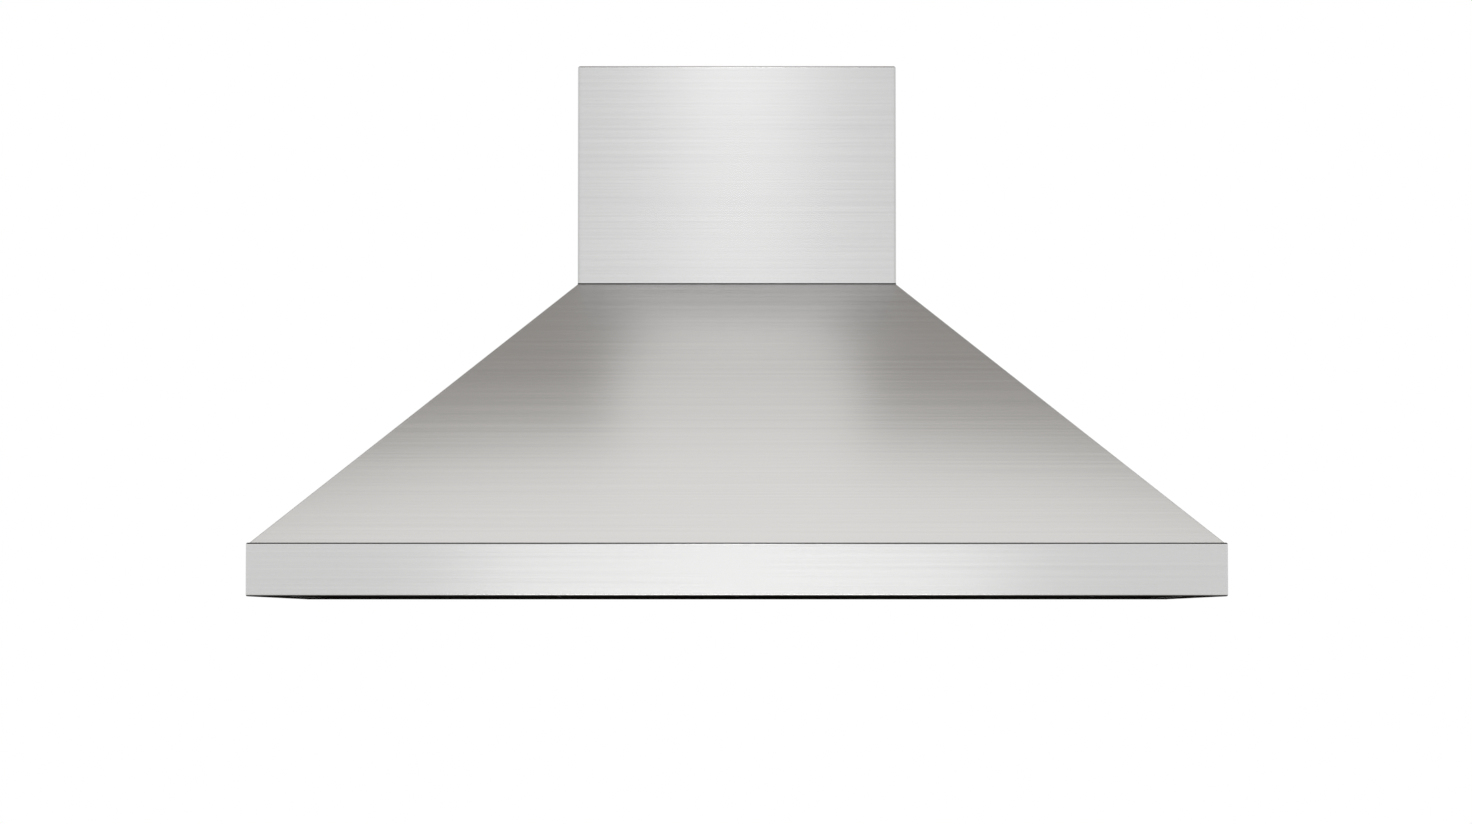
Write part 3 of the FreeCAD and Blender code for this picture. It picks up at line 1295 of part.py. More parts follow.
def damper_flap(side, label):
    """Half a disc beside the rod, with two knuckles round it that sit between the other flap's."""
    body = new_body("DamperFlap")
    radius = f"({OUTLET_HALF} - flap_gap)"
    edge = "(knuckle_radius + flap_hinge_gap)"
    disc = new_sketch(body, "XY_Plane", "-flap_thickness / 2")
    circle(disc, "0", "0", radius)
    pad(body, disc, "flap_thickness")
    other = new_sketch(body, "XY_Plane", "-flap_thickness")
    limits = ("-collar_radius", edge) if side > 0 else (f"-{edge}", "collar_radius")
    rectangle(other, limits[0], limits[1], "-collar_radius", "collar_radius")
    pocket(body, other, "2 * flap_thickness")
    first = "(knuckle_spacing / 2 + knuckle_length / 2)"
    shift = f"{side} * (knuckle_length / 2 + flap_hinge_gap / 2)"
    for place in (-1, 1):
        start = f"{place} * {first} + {shift} - knuckle_length / 2"
        knuckle = new_sketch(body, "XZ_Plane", start)
        circle(knuckle, "0", "0", "knuckle_radius")
        pad(body, knuckle, "knuckle_length")
        tongue = new_sketch(body, "XZ_Plane", start)
        rectangle(tongue, f"{side} * knuckle_radius / 2", f"{side} * ({edge} + flap_gap)",
                  "-flap_thickness / 2", "flap_thickness / 2")
        pad(body, tongue, "knuckle_length")
    bore = new_sketch(body, "XZ_Plane", "-collar_radius")
    circle(bore, "0", "0", "damper_rod_radius + knuckle_bore_clearance")
    pocket(body, bore, "2 * collar_radius")
    return subpart(body, label, y="-collar_from_wall", z=f"{COLLAR_BASE} + damper_rod_level")


# Lamps

def lamp_bezel(side, label):
    """A turned ring under the panel, with a bevelled rim and a step that the lens rests on."""
    body = new_body("LampBezel")
    profile = new_sketch(body, "XZ_Plane")
    window = "(lamp_lens_radius - lamp_flange_thickness)"
    seat = "(lamp_lens_radius + lamp_lens_clearance)"
    polygon(profile, [
        (window, "0"), ("lamp_bezel_radius - lamp_bezel_height / 2", "0"),
        ("lamp_bezel_radius", "lamp_bezel_height"), (seat, "lamp_bezel_height"),
        (seat, "lamp_flange_thickness / 2"), (window, "lamp_flange_thickness / 2"),
    ])
    revolve(body, profile, "Z_Axis")
    return subpart(body, label, x=f"{side} * {LAMP_SIDE}", y=f"-{CONTROL_DEPTH}",
                   z="panel_level - lamp_bezel_height")


def lamp_lens(side, label):
    body = round_bar("LampLens", "XY_Plane", "lamp_lens_radius", "lamp_flange_thickness / 2",
                     "lamp_bezel_height - lamp_flange_thickness / 2")
    return subpart(body, label, x=f"{side} * {LAMP_SIDE}", y=f"-{CONTROL_DEPTH}",
                   z="panel_level - lamp_bezel_height")


def lamp_housing(side, label):
    """A shallow stepped aluminium cup over the lens."""
    body = new_body("LampHousing")
    profile = new_sketch(body, "XZ_Plane")
    wall = "lamp_flange_thickness"
    neck = "(lamp_body_radius - lamp_body_step)"
    points = [
        ("0", "lamp_body_height"), (neck, "lamp_body_height"), (neck, f"4 * {wall}"),
        ("lamp_body_radius", f"4 * {wall}"), ("lamp_body_radius", "0"), (f"lamp_body_radius - {wall}", "0"),
        (f"lamp_body_radius - {wall}", f"2 * {wall}"), (f"{neck} - {wall}", f"3 * {wall}"),
        (f"{neck} - {wall}", f"lamp_body_height - {wall}"), ("0", f"lamp_body_height - {wall}"),
    ]
    polygon(profile, points)
    revolve(body, profile, "Z_Axis")
    return subpart(body, label, x=f"{side} * {LAMP_SIDE}", y=f"-{CONTROL_DEPTH}", z="panel_level")


# Controls

BUTTONS = ("power", "lamp", "low", "medium", "high")


def button_x(index):
    return f"{index - 2} * button_spacing"


def button_bezel():
    body = new_body("ButtonBezel")
    half = "(2 * button_spacing + button_row_margin)"
    plate = new_sketch(body, "XY_Plane", "panel_level - control_plate_thickness")
    rectangle(plate, f"-{half}", half, f"-({CONTROL_DEPTH} + control_plate_depth / 2)",
              f"-({CONTROL_DEPTH} - control_plate_depth / 2)")
    pad(body, plate, "control_plate_thickness")
    holes = new_sketch(body, "XY_Plane", "panel_level - control_plate_thickness")
    for index in range(len(BUTTONS)):
        circle(holes, button_x(index), f"-{CONTROL_DEPTH}", "button_radius + button_clearance")
    pocket(body, holes, "control_plate_thickness")
    return subpart(body, "button_bezel")


def button(index, label):
    """A round cap that is pushed up. Its flange rests on the bezel, and its top works the switch."""
    body = new_body("Button")
    profile = new_sketch(body, "XZ_Plane")
    low = "(panel_level + button_flange_thickness - button_height)"
    polygon(profile, [
        ("0", low), ("button_radius - button_bevel", low), ("button_radius", f"{low} + button_bevel"),
        ("button_radius", "panel_level"), ("button_flange_radius", "panel_level"),
        ("button_flange_radius", "panel_level + button_flange_thickness"),
        ("0", "panel_level + button_flange_thickness"),
    ])
    revolve(body, profile, "Z_Axis")
    return subpart(body, label, x=button_x(index), y=f"-{CONTROL_DEPTH}")


def button_board():
    """Circuit board on four posts over the button row, with a push switch above each button."""
    switch_low = "(panel_level + button_flange_thickness + button_travel + button_clearance)"
    board_low = f"({switch_low} + switch_height)"
    half = "(2 * button_spacing + button_row_margin)"
    depth = "(control_plate_depth / 2)"
    switch = "(switch_size / 2)"
    pieces = [box(f"-{half}", half, f"-({CONTROL_DEPTH} + {depth})", f"-({CONTROL_DEPTH} - {depth})",
                  board_low, f"{board_low} + board_thickness")]
    for index in range(len(BUTTONS)):
        x = button_x(index)
        pieces.append(box(f"{x} - {switch}", f"{x} + {switch}", f"-({CONTROL_DEPTH} + {switch})",
                          f"-({CONTROL_DEPTH} - {switch})", switch_low, board_low))
    for x, y in corners(f"({half} - board_post_inset)", f"({depth} - board_post_inset)", CONTROL_DEPTH):
        pieces.append(cylinder("z", x, y, PANEL_TOP, "board_post_radius", f"{board_low} - {PANEL_TOP}"))
    return subpart(together(pieces), "button_board")


# Electrical boxes on the back panel

def junction_box():
    """A folded tray, open to the front, with an end plate for the gland set in its right side."""
    low = "junction_level"
    x = "junction_from_middle"
    half = "(junction_width / 2)"
    shell = box(f"-({x} + {half})", f"-({x} - {half})", "-(back_sheet + junction_depth)", "-back_sheet", low,
                f"{low} + junction_height")
    hollow = box(f"-({x} + {half} - box_sheet)", f"-({x} - {half} - cut_margin)",
                 "-(back_sheet + junction_depth + cut_margin)", "-(back_sheet + box_sheet)",
                 f"{low} + box_sheet", f"{low} + junction_height - box_sheet")
    end = box(f"-({x} - {half} + box_sheet)", f"-({x} - {half})", "-(back_sheet + junction_depth)",
              "-(back_sheet + box_sheet)", f"{low} + box_sheet", f"{low} + junction_height - box_sheet")
    entry = cylinder("x", f"-({x} - {half} + box_sheet + cut_margin)", "-(back_sheet + junction_depth / 2)",
                     f"{low} + junction_height / 2", "gland_neck_radius", "box_sheet + 2 * cut_margin")
    return subpart(together([cut(shell, [hollow]), cut(end, [entry])], "Part::Compound"), "junction_box")


def junction_cover():
    low = "junction_level"
    x = "junction_from_middle"
    half = "(junction_width / 2)"
    front = "(back_sheet + junction_depth + box_sheet)"
    pieces = [box(f"-({x} + {half})", f"-({x} - {half})", f"-{front}", f"-({front} - box_sheet)", low,
                  f"{low} + junction_height")]
    for side in (-1, 1):
        pieces.append(cylinder("y", f"-({x} + {side} * ({half} - junction_screw_inset))",
                               f"-({front} + screw_head_height)", f"{low} + junction_height / 2",
                               "screw_head_radius", "screw_head_height"))
    return subpart(together(pieces), "junction_cover")


def cable_gland():
    """Strain-relief gland in the right side of the junction box: thread, body and dome nut."""
    body = new_body("CableGland")
    wall = "(-(junction_from_middle - junction_width / 2))"
    profile = new_sketch(body, "XY_Plane")
    polygon(profile, [
        ("0", "gland_bore_radius"), ("0", "gland_radius"), ("gland_length / 2", "gland_radius"),
        ("gland_length", "gland_neck_radius"), ("gland_length", "gland_bore_radius"),
    ])
    revolve(body, profile, "X_Axis")
    thread = new_sketch(body, "YZ_Plane", "-2 * box_sheet")
    circle(thread, "0", "0", "gland_neck_radius - gland_thread_clearance")
    circle(thread, "0", "0", "gland_bore_radius")
    pad(body, thread, "2 * box_sheet")
    return subpart(body, "cable_gland", x=wall, y="-(back_sheet + junction_depth / 2)",
                   z="junction_level + junction_height / 2")


def lamp_driver():
    low = "junction_level"
    x = "junction_from_middle"
    case = box(f"{x} - driver_width / 2", f"{x} + driver_width / 2", "-(back_sheet + driver_depth)",
               "-back_sheet", low, f"{low} + driver_height")
    tabs = box(f"{x} - driver_width / 2 - driver_tab", f"{x} + driver_width / 2 + driver_tab",
               "-(back_sheet + box_sheet)", "-back_sheet", f"{low} + driver_height / 4",
               f"{low} + driver_height * 3 / 4")
    return subpart(together([case, tabs]), "lamp_driver")


def capacitor():
    """The motor's run capacitor, upright under a strap beside the lamp driver."""
    radius = "capacitor_radius"
    x = "(junction_from_middle - driver_width / 2 - driver_tab - capacitor_from_driver)"
    depth = "(back_sheet + capacitor_radius)"
    low = "junction_level"
    can = cylinder("z", x, f"-{depth}", low, radius, "capacitor_length")
    strap_low = f"({low} + capacitor_length / 2 - capacitor_strap_width / 2)"
    band = cylinder("z", x, f"-{depth}", strap_low, f"{radius} + box_sheet", "capacitor_strap_width")
    foot = box(f"{x} - {radius} - driver_tab", f"{x} + {radius} + driver_tab", "-(back_sheet + box_sheet)",
               "-back_sheet", strap_low, f"{strap_low} + capacitor_strap_width")
    wall = box(f"{x} - 2 * {radius}", f"{x} + 2 * {radius}", "-back_sheet", f"{radius}", low,
               f"{low} + capacitor_length")
    return subpart(cut(together([can, band, foot]), [wall]), "capacitor")


SIDES = ((-1, "left"), (1, "right"))
FILTERS = ((-1, "left"), (0, "centre"), (1, "right"))

fascia_band()
canopy_skin()
back_panel()
flue_cover()
flue_bracket()
front_panel()
grease_trough()
grease_cup()
cup_runners()
pivot_lugs()
blower_plate()
sheet_screws()
scroll_wrapper()
wheel_disc()
wheel_blades()
fan_shaft()
motor()
motor_bracket()
collar_gasket()
duct_collar()
panel_rivets()
capacitor()
damper_rod()
button_bezel()
button_board()
junction_box()
junction_cover()
cable_gland()
lamp_driver()
for side, word in SIDES:
    side_panel(side, f"side_panel_{word}")
    scroll_side(side, f"scroll_side_{word}")
    inlet_ring(side, f"inlet_ring_{word}")
    damper_flap(side, f"flap_{word}")
    lamp_bezel(side, f"lamp_bezel_{word}")
    lamp_lens(side, f"lamp_lens_{word}")
    lamp_housing(side, f"lamp_housing_{word}")
for index, word in FILTERS:
    filter_frame(index, f"filter_frame_{word}")
    filter_baffles(index, f"filter_baffles_{word}")
    filter_handle(index, f"filter_handle_{word}")
    filter_latch(index, f"filter_latch_{word}")
for index, word in enumerate(BUTTONS):
    button(index, f"button_{word}")

doc.recompute()
for thing in doc.Objects:
    if "Invalid" in thing.State or "Error" in thing.State:
        raise RuntimeError(f"{thing.Label} failed: {thing.State}")
for thing in SUBPARTS:
    if thing.Shape.isNull() or not thing.Shape.isValid() or not thing.Shape.Solids:
        raise RuntimeError(f"{thing.Label} has no valid solid")

os.makedirs("parts", exist_ok=True)
for thing in SUBPARTS:
    thing.Shape.exportStep(f"parts/{thing.Label}.step")
print(len(SUBPARTS), "sub-parts written")
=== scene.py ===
# Wall-mounted chimney range hood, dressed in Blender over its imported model.
import json
import math

import bpy
import numpy as np
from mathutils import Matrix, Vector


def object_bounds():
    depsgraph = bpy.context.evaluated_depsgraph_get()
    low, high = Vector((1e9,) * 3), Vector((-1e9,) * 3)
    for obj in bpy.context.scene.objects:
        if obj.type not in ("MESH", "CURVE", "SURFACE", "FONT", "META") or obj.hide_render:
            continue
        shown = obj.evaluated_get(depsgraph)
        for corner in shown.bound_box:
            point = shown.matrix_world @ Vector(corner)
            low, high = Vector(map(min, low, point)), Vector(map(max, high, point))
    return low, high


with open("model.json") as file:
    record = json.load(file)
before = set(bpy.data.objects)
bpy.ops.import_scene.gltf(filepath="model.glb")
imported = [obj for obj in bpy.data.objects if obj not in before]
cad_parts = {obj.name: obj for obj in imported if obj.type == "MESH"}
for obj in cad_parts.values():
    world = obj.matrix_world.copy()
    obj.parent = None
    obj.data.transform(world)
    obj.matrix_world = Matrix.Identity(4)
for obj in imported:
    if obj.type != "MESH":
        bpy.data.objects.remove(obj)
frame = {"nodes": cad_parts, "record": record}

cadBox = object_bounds()
scene = bpy.context.scene


# Camera: straight in front, a little below the rim, and tipped up by a few degrees
cameraSetup = {
    "x": 0.0,
    "y": -4.7906,
    "z": -0.1975,
    "tip": 2.652,
    "lens": 110.146,
    "sensor": 36.0,
    "shift": -0.0006,
}


def addCamera(setup):
    data = bpy.data.cameras.new("camera")
    data.lens = setup["lens"]
    data.sensor_width = setup["sensor"]
    data.shift_x = setup["shift"]
    camera = bpy.data.objects.new("camera", data)
    camera.location = (setup["x"], setup["y"], setup["z"])
    camera.rotation_euler = (math.radians(90 + setup["tip"]), 0, 0)
    scene.collection.objects.link(camera)
    scene.camera = camera


addCamera(cameraSetup)
print("camera placed")


# Shader maths
class Value:
    # An output socket that adds, scales and compares as a number or a vector does
    def __init__(self, tree, socket=None):
        self.tree = tree
        self.socket = socket

    def node(self, kind, settings=None, inputs=None, output=0):
        # any node: its settings first, then the values or links of its sockets
        made = self.tree.nodes.new(kind)
        for name, value in (settings or {}).items():
            setattr(made, name, value)
        for name, value in (inputs or {}).items():
            if isinstance(value, Value):
                self.tree.links.new(value.socket, made.inputs[name])
            else:
                made.inputs[name].default_value = value
        return Value(self.tree, made.outputs[output])

    def isVector(self):
        return self.socket.type == "VECTOR"

    def maths(self, operation, first, second):
        vector = any(isinstance(v, tuple) or (isinstance(v, Value) and v.isVector()) for v in (first, second))
        kind = "ShaderNodeVectorMath" if vector else "ShaderNodeMath"
        return self.node(kind, {"operation": operation}, {0: first, 1: second})

    def __add__(self, other):
        return self.maths("ADD", self, other)

    def __radd__(self, other):
        return self.maths("ADD", other, self)

    def __sub__(self, other):
        return self.maths("SUBTRACT", self, other)

    def __rsub__(self, other):
        return self.maths("SUBTRACT", other, self)

    def __mul__(self, other):
        return self.maths("MULTIPLY", self, other)

    def __rmul__(self, other):
        return self.maths("MULTIPLY", other, self)

    def part(self, axis):
        return self.node("ShaderNodeSeparateXYZ", {}, {0: self}, axis)

    def between(self, low, high):
        # 0 below low, 1 above high, smooth in between
        settings = {"interpolation_type": "SMOOTHSTEP"}
        return self.node("ShaderNodeMapRange", settings, {"Value": self, "From Min": low, "From Max": high})

    def blend(self, low, high):
        # mixes two colours by this factor
        return self.node("ShaderNodeMix", {"data_type": "RGBA"}, {0: self, 6: low, 7: high}, 2)

    def noise(self, detail=2.0, roughness=0.5):
        return self.node("ShaderNodeTexNoise", {}, {"Vector": self, "Scale": 1.0, "Detail": detail,
                                                    "Roughness": roughness})

    def bump(self, strength, distance):
        inputs = {"Strength": strength, "Distance": distance, "Height": self}
        return self.node("ShaderNodeBump", {}, inputs)


def grey(level, warmth=0.0):
    return (level * (1 + warmth), level, level * (1 - warmth), 1)


# matt black painted over places that lie in shade, standing in for the shade
shadeBlackFinish = {"colour": (0.012, 0.011, 0.010, 1), "roughness": 0.9}


def makeMaterial(name, build, paintedShadeMask=None):
    # build(coordinates) gives the sockets of the shader their values or links; where the mask of painted shade
    # is 1, a matt black covers it as painted shade
    material = bpy.data.materials.new(name)
    material.use_nodes = True
    tree = material.node_tree
    shader = next(n for n in tree.nodes if n.type == "BSDF_PRINCIPLED")
    coordinates = Value(tree).node("ShaderNodeTexCoord", {}, {}, "Object")
    for socket, value in build(coordinates).items():
        if isinstance(value, Value):
            tree.links.new(value.socket, shader.inputs[socket])
        else:
            shader.inputs[socket].default_value = value
    if paintedShadeMask:
        metal = Value(tree, shader.outputs[0])
        black = metal.node("ShaderNodeBsdfPrincipled", {}, {
            "Base Color": shadeBlackFinish["colour"], "Roughness": shadeBlackFinish["roughness"], "Specular IOR Level": 0.0,
        })
        covered = metal.node("ShaderNodeMixShader", {}, {0: paintedShadeMask(coordinates), 1: metal, 2: black})
        showSurface(tree, covered)
    return material


def showSurface(tree, value):
    output = next(n for n in tree.nodes if n.type == "OUTPUT_MATERIAL")
    tree.links.new(value.socket, output.inputs["Surface"])


# Finishes. Their scales count grains per metre along X, Y and Z.
casingFinish = {
    "grain": (1.6, 1.6, 720.0),
    "cloud": (3.0, 3.0, 3.0),
    "cloudShare": 0.02,
    "streak": 0.15,
    "roughness": 0.26,
    "spread": 0.06,
    "bump": 0.03,
    "depth": 0.0002,
    "anisotropy": 0.95,
    "turn": 0.25,
}


def brushedSteel(p, level, streakShare=1.0):
    # horizontal brushing: noise drawn out along X and Y, fine along Z, with the gloss drawn out upright
    f = casingFinish
    fine = (p * f["grain"]).noise(4.0, 0.65)
    cloud = (p * f["cloud"]).noise(2.0, 0.5)
    streak = f["streak"] * streakShare
    tone = fine * streak + cloud * f["cloudShare"] - (streak + f["cloudShare"]) / 2
    return {
        "Base Color": (tone + 0.5).blend(grey(level - 0.5), grey(level + 0.5)),
        "Metallic": 1.0,
        "Roughness": fine * f["spread"] + (f["roughness"] - f["spread"] / 2),
        "Anisotropic": f["anisotropy"],
        "Anisotropic Rotation": f["turn"],
        "Normal": fine.bump(f["bump"] * streakShare, f["depth"]),
    }


# rim and seam give the heights of the painted shade strips on the band
bandFinish = {"level": 0.662, "streakShare": 0.9, "rim": -0.1737, "seam": -0.1263, "fade": 0.0003}


def bandSteel(p):
    return brushedSteel(p, bandFinish["level"], bandFinish["streakShare"])


def bandPaintedShade(p):
    # painted shade: the turned-in rim below and the ledge under the skin are covered in black where shade falls
    f = bandFinish
    height = p.part("Z")
    rim = 1.0 - height.between(f["rim"] - f["fade"], f["rim"])
    seam = height.between(f["seam"], f["seam"] + f["fade"])
    return rim + seam


# the flue's copy of the casing steel is set darker as painted shade, and its foot is painted black as shade
# where it meets the canopy
flueShadedFinish = {"level": 0.583, "streakShare": 0.65, "foot": 0.1389, "fade": 0.0004}


def flueShadedSteel(p):
    return brushedSteel(p, flueShadedFinish["level"], flueShadedFinish["streakShare"])


def paintedShadeBelow(f):
    # painted shade mask: 1 below the foot's level, 0 above it
    return lambda p: 1.0 - p.part("Z").between(f["foot"], f["foot"] + f["fade"])


canopyFinish = {"level": 0.66, "streakShare": 0.95}


def canopySteel(p):
    # the same sheet on the slanted walls, where the gloss spreads evenly
    finish = brushedSteel(p, canopyFinish["level"], canopyFinish["streakShare"])
    finish.update({"Anisotropic": 0.0, "Anisotropic Rotation": 0.0})
    return finish


rimShadeFinish = {"foot": -0.1716, "fade": 0.0004}  # the lowest strip of the panels is painted black as shade behind the rim


# brushed from left to right, a little duller than the outside
panelFinish = {
    "grain": (10.0, 1500.0, 1500.0),
    "smear": (6.0, 9.0, 9.0),
    "smearShare": 0.3,
    "low": grey(0.60),
    "high": grey(0.72),
    "roughness": 0.30,
    "spread": 0.12,
    "bump": 0.10,
    "depth": 0.0002,
}

# bright strip, drawn along the channels from back to front
filterFinish = {
    "grain": (1300.0, 12.0, 1300.0),
    "smear": (14.0, 5.0, 14.0),
    "smearShare": 0.4,
    "low": grey(0.60),
    "high": grey(0.76),
    "roughness": 0.22,
    "spread": 0.14,
    "bump": 0.08,
    "depth": 0.0002,
}


def smearedSteel(f):
    # drawn or brushed strip: fine grain for tone and relief, wide smears for the gloss
    def build(p):
        fine = (p * f["grain"]).noise(3.0, 0.6)
        smear = (p * f["smear"]).noise(2.0, 0.5)
        tone = fine * (1.0 - f["smearShare"]) + smear * f["smearShare"]
        return {
            "Base Color": tone.blend(f["low"], f["high"]),
            "Metallic": 1.0,
            "Roughness": smear * f["spread"] + f["roughness"],
            "Normal": fine.bump(f["bump"], f["depth"]),
        }
    return build


zincFinish = {
    "spangle": 75.0,
    "mottle": (260.0, 260.0, 260.0),
    "mottleShare": 0.3,
    "low": grey(0.51, -0.02),
    "high": grey(0.69, -0.02),
    "metallic": 0.9,
    "roughness": 0.34,
    "spread": 0.16,
    "bump": 0.05,
    "depth": 0.0003,
}


def galvanised(p):
    # zinc spangle: each cell of crystals has its own tone and gloss
    f = zincFinish
    cells = p.node("ShaderNodeTexVoronoi", {"feature": "F1"}, {"Vector": p, "Scale": f["spangle"]}, "Color")
    mottle = (p * f["mottle"]).noise(2.0, 0.6)
    tone = cells.part("X") * (1.0 - f["mottleShare"]) + mottle * f["mottleShare"]
    return {
        "Base Color": tone.blend(f["low"], f["high"]),
        "Metallic": f["metallic"],
        "Roughness": tone * f["spread"] + f["roughness"],
        "Normal": tone.bump(f["bump"], f["depth"]),
    }


blowerFinish = {
    "spangle": 210.0,
    "rolled": (18.0, 700.0, 18.0),
    "rolledShare": 0.5,
    "low": grey(0.50, -0.02),
    "high": grey(0.66, -0.02),
    "metallic": 0.9,
    "roughness": 0.34,
    "spread": 0.14,
    "bump": 0.06,
    "depth": 0.0003,
}


def blowerSheet(p):
    # a thinner zinc coat with small spangle and rolling marks
    f = blowerFinish
    cells = p.node("ShaderNodeTexVoronoi", {"feature": "F1"}, {"Vector": p, "Scale": f["spangle"]}, "Color")
    rolled = (p * f["rolled"]).noise(2.0, 0.5)
    tone = cells.part("X") * (1.0 - f["rolledShare"]) + rolled * f["rolledShare"]
    return {
        "Base Color": tone.blend(f["low"], f["high"]),
        "Metallic": f["metallic"],
        "Roughness": tone * f["spread"] + f["roughness"],
        "Normal": rolled.bump(f["bump"], f["depth"]),
    }


motorFinish = {
    "peel": (650.0, 650.0, 650.0),
    "dust": (40.0, 40.0, 40.0),
    "low": grey(0.055, -0.03),
    "high": grey(0.095, -0.03),
    "roughness": 0.38,
    "spread": 0.12,
    "bump": 0.15,
    "depth": 0.0003,
}


def motorShell(p):
    # dark stoved paint with orange peel
    f = motorFinish
    peel = (p * f["peel"]).noise(2.0, 0.5)
    dust = (p * f["dust"]).noise(3.0, 0.6)
    return {
        "Base Color": dust.blend(f["low"], f["high"]),
        "Roughness": peel * f["spread"] + f["roughness"],
        "Normal": peel.bump(f["bump"], f["depth"]),
    }


boardFinish = {
    "tracks": (260.0, 260.0, 0.0),
    "offset": 0.3,
    "trackWidth": 0.06,
    "softness": 0.2,
    "trackShare": 0.7,
    "weave": (700.0, 700.0, 700.0),
    "weaveShare": 0.2,
    "low": (0.010, 0.085, 0.035, 1),
    "high": (0.045, 0.20, 0.085, 1),
    "roughness": 0.30,
    "spread": 0.12,
    "bump": 0.15,
    "depth": 0.0002,
}


def circuitBoard(p):
    # solder mask over straight tracks
    f = boardFinish
    tracks = p.node("ShaderNodeTexBrick", {"offset": f["offset"]}, {
        "Vector": p * f["tracks"], "Scale": 1.0, "Mortar Size": f["trackWidth"], "Mortar Smooth": f["softness"],
    }, "Fac")
    weave = (p * f["weave"]).noise(2.0, 0.5)
    tone = tracks * f["trackShare"] + weave * f["weaveShare"]
    return {
        "Base Color": tone.blend(f["low"], f["high"]),
        "Roughness": weave * f["spread"] + f["roughness"],
        "Normal": tracks.bump(f["bump"], f["depth"]),
    }


# Finishes with one grain that gives tone, gloss and relief alike. "grain" is its scale, detail and
# roughness of noise, "gloss" the least roughness and its spread, "relief" the bump's strength and depth.
wheelFinish = {
    "grain": ((420.0, 420.0, 420.0), 3.0, 0.6),
    "low": grey(0.62),
    "high": grey(0.80),
    "gloss": (0.30, 0.14),
    "relief": (0.06, 0.0002),
    "fixed": {"Metallic": 1.0},
}

# ground bar: rings round it
shaftFinish = {
    "grain": ((1600.0, 90.0, 90.0), 2.0, 0.5),
    "low": grey(0.50),
    "high": grey(0.62),
    "gloss": (0.20, 0.10),
    "relief": (0.05, 0.0001),
    "fixed": {"Metallic": 1.0},
}

gasketFinish = {
    "grain": ((900.0, 900.0, 900.0), 3.0, 0.7),
    "low": grey(0.022),
    "high": grey(0.045),
    "gloss": (0.70, 0.15),
    "relief": (0.25, 0.0004),
    "fixed": {},
}

# frosted cover: fine etched grain
lensFinish = {
    "grain": ((1100.0, 1100.0, 1100.0), 2.0, 0.6),
    "low": (0.80, 0.82, 0.81, 1),
    "high": (0.92, 0.93, 0.90, 1),
    "gloss": (0.35, 0.15),
    "relief": (0.12, 0.0002),
    "fixed": {"Transmission Weight": 0.35, "IOR": 1.5},
}

lampFinish = {
    "grain": ((520.0, 520.0, 520.0), 3.0, 0.65),
    "low": grey(0.58),
    "high": grey(0.74),
    "gloss": (0.40, 0.14),
    "relief": (0.20, 0.0003),
    "fixed": {"Metallic": 1.0},
}

bezelFinish = {
    "grain": ((16.0, 1400.0, 1400.0), 2.0, 0.6),
    "low": grey(0.40),
    "high": grey(0.50),
    "gloss": (0.24, 0.10),
    "relief": (0.06, 0.0002),
    "fixed": {"Metallic": 1.0},
}

# dark satin caps with a moulded grain
buttonFinish = {
    "grain": ((1500.0, 1500.0, 1500.0), 2.0, 0.6),
    "low": grey(0.030),
    "high": grey(0.050),
    "gloss": (0.34, 0.12),
    "relief": (0.10, 0.0002),
    "fixed": {"Coat Weight": 0.15},
}

plasticFinish = {
    "grain": ((1300.0, 1300.0, 1300.0), 2.0, 0.6),
    "low": grey(0.018),
    "high": grey(0.034),
    "gloss": (0.46, 0.14),
    "relief": (0.20, 0.0002),
    "fixed": {},
}

screwFinish = {
    "grain": ((800.0, 800.0, 800.0), 2.0, 0.5),
    "low": grey(0.62, 0.02),
    "high": grey(0.78, 0.02),
    "gloss": (0.22, 0.10),
    "relief": (0.05, 0.0001),
    "fixed": {"Metallic": 1.0},
}


def plainFinish(f):
    def build(p):
        scale, detail, roughness = f["grain"]
        least, spread = f["gloss"]
        grain = (p * scale).noise(detail, roughness)
        return {
            "Base Color": grain.blend(f["low"], f["high"]),
            "Roughness": grain * spread + least,
            "Normal": grain.bump(*f["relief"]),
            **f["fixed"],
        }
    return build


finishes = {
    "casing_steel": bandSteel,
    "panel_steel": smearedSteel(panelFinish),
    "galvanised": galvanised,
    "blower_sheet": blowerSheet,
    "filter_steel": smearedSteel(filterFinish),
    "wheel_metal": plainFinish(wheelFinish),
    "shaft_steel": plainFinish(shaftFinish),
    "motor_shell": motorShell,
    "gasket_rubber": plainFinish(gasketFinish),
    "lens_glass": plainFinish(lensFinish),
    "lamp_metal": plainFinish(lampFinish),
    "bezel_metal": plainFinish(bezelFinish),
    "button_metal": plainFinish(buttonFinish),
    "board": circuitBoard,
    "black_plastic": plainFinish(plasticFinish),
    "screw_steel": plainFinish(screwFinish),
}
materials = {slot: makeMaterial(slot, build) for slot, build in finishes.items()}
ownFinishes = {
    "fascia_band": makeMaterial("band_steel", bandSteel, bandPaintedShade),
    "canopy_skin": makeMaterial("canopy_steel", canopySteel),
    "flue_cover": makeMaterial("flue_steel_shaded", flueShadedSteel, paintedShadeBelow(flueShadedFinish)),
    "back_panel": makeMaterial("back_steel", galvanised, paintedShadeBelow(rimShadeFinish)),
    "side_panel_left": makeMaterial("left_steel", smearedSteel(panelFinish), paintedShadeBelow(rimShadeFinish)),
    "side_panel_right": makeMaterial("right_steel", smearedSteel(panelFinish), paintedShadeBelow(rimShadeFinish)),
}


def dressNodes():
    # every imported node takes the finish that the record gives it
    for subpart in frame["record"]["subparts"]:
        node = frame["nodes"][subpart["node"]]
        node.data.materials.clear()
        node.data.materials.append(ownFinishes.get(subpart["node"], materials[subpart["material_slot"]]))


dressNodes()
print("finishes on", len(frame["nodes"]), "nodes")


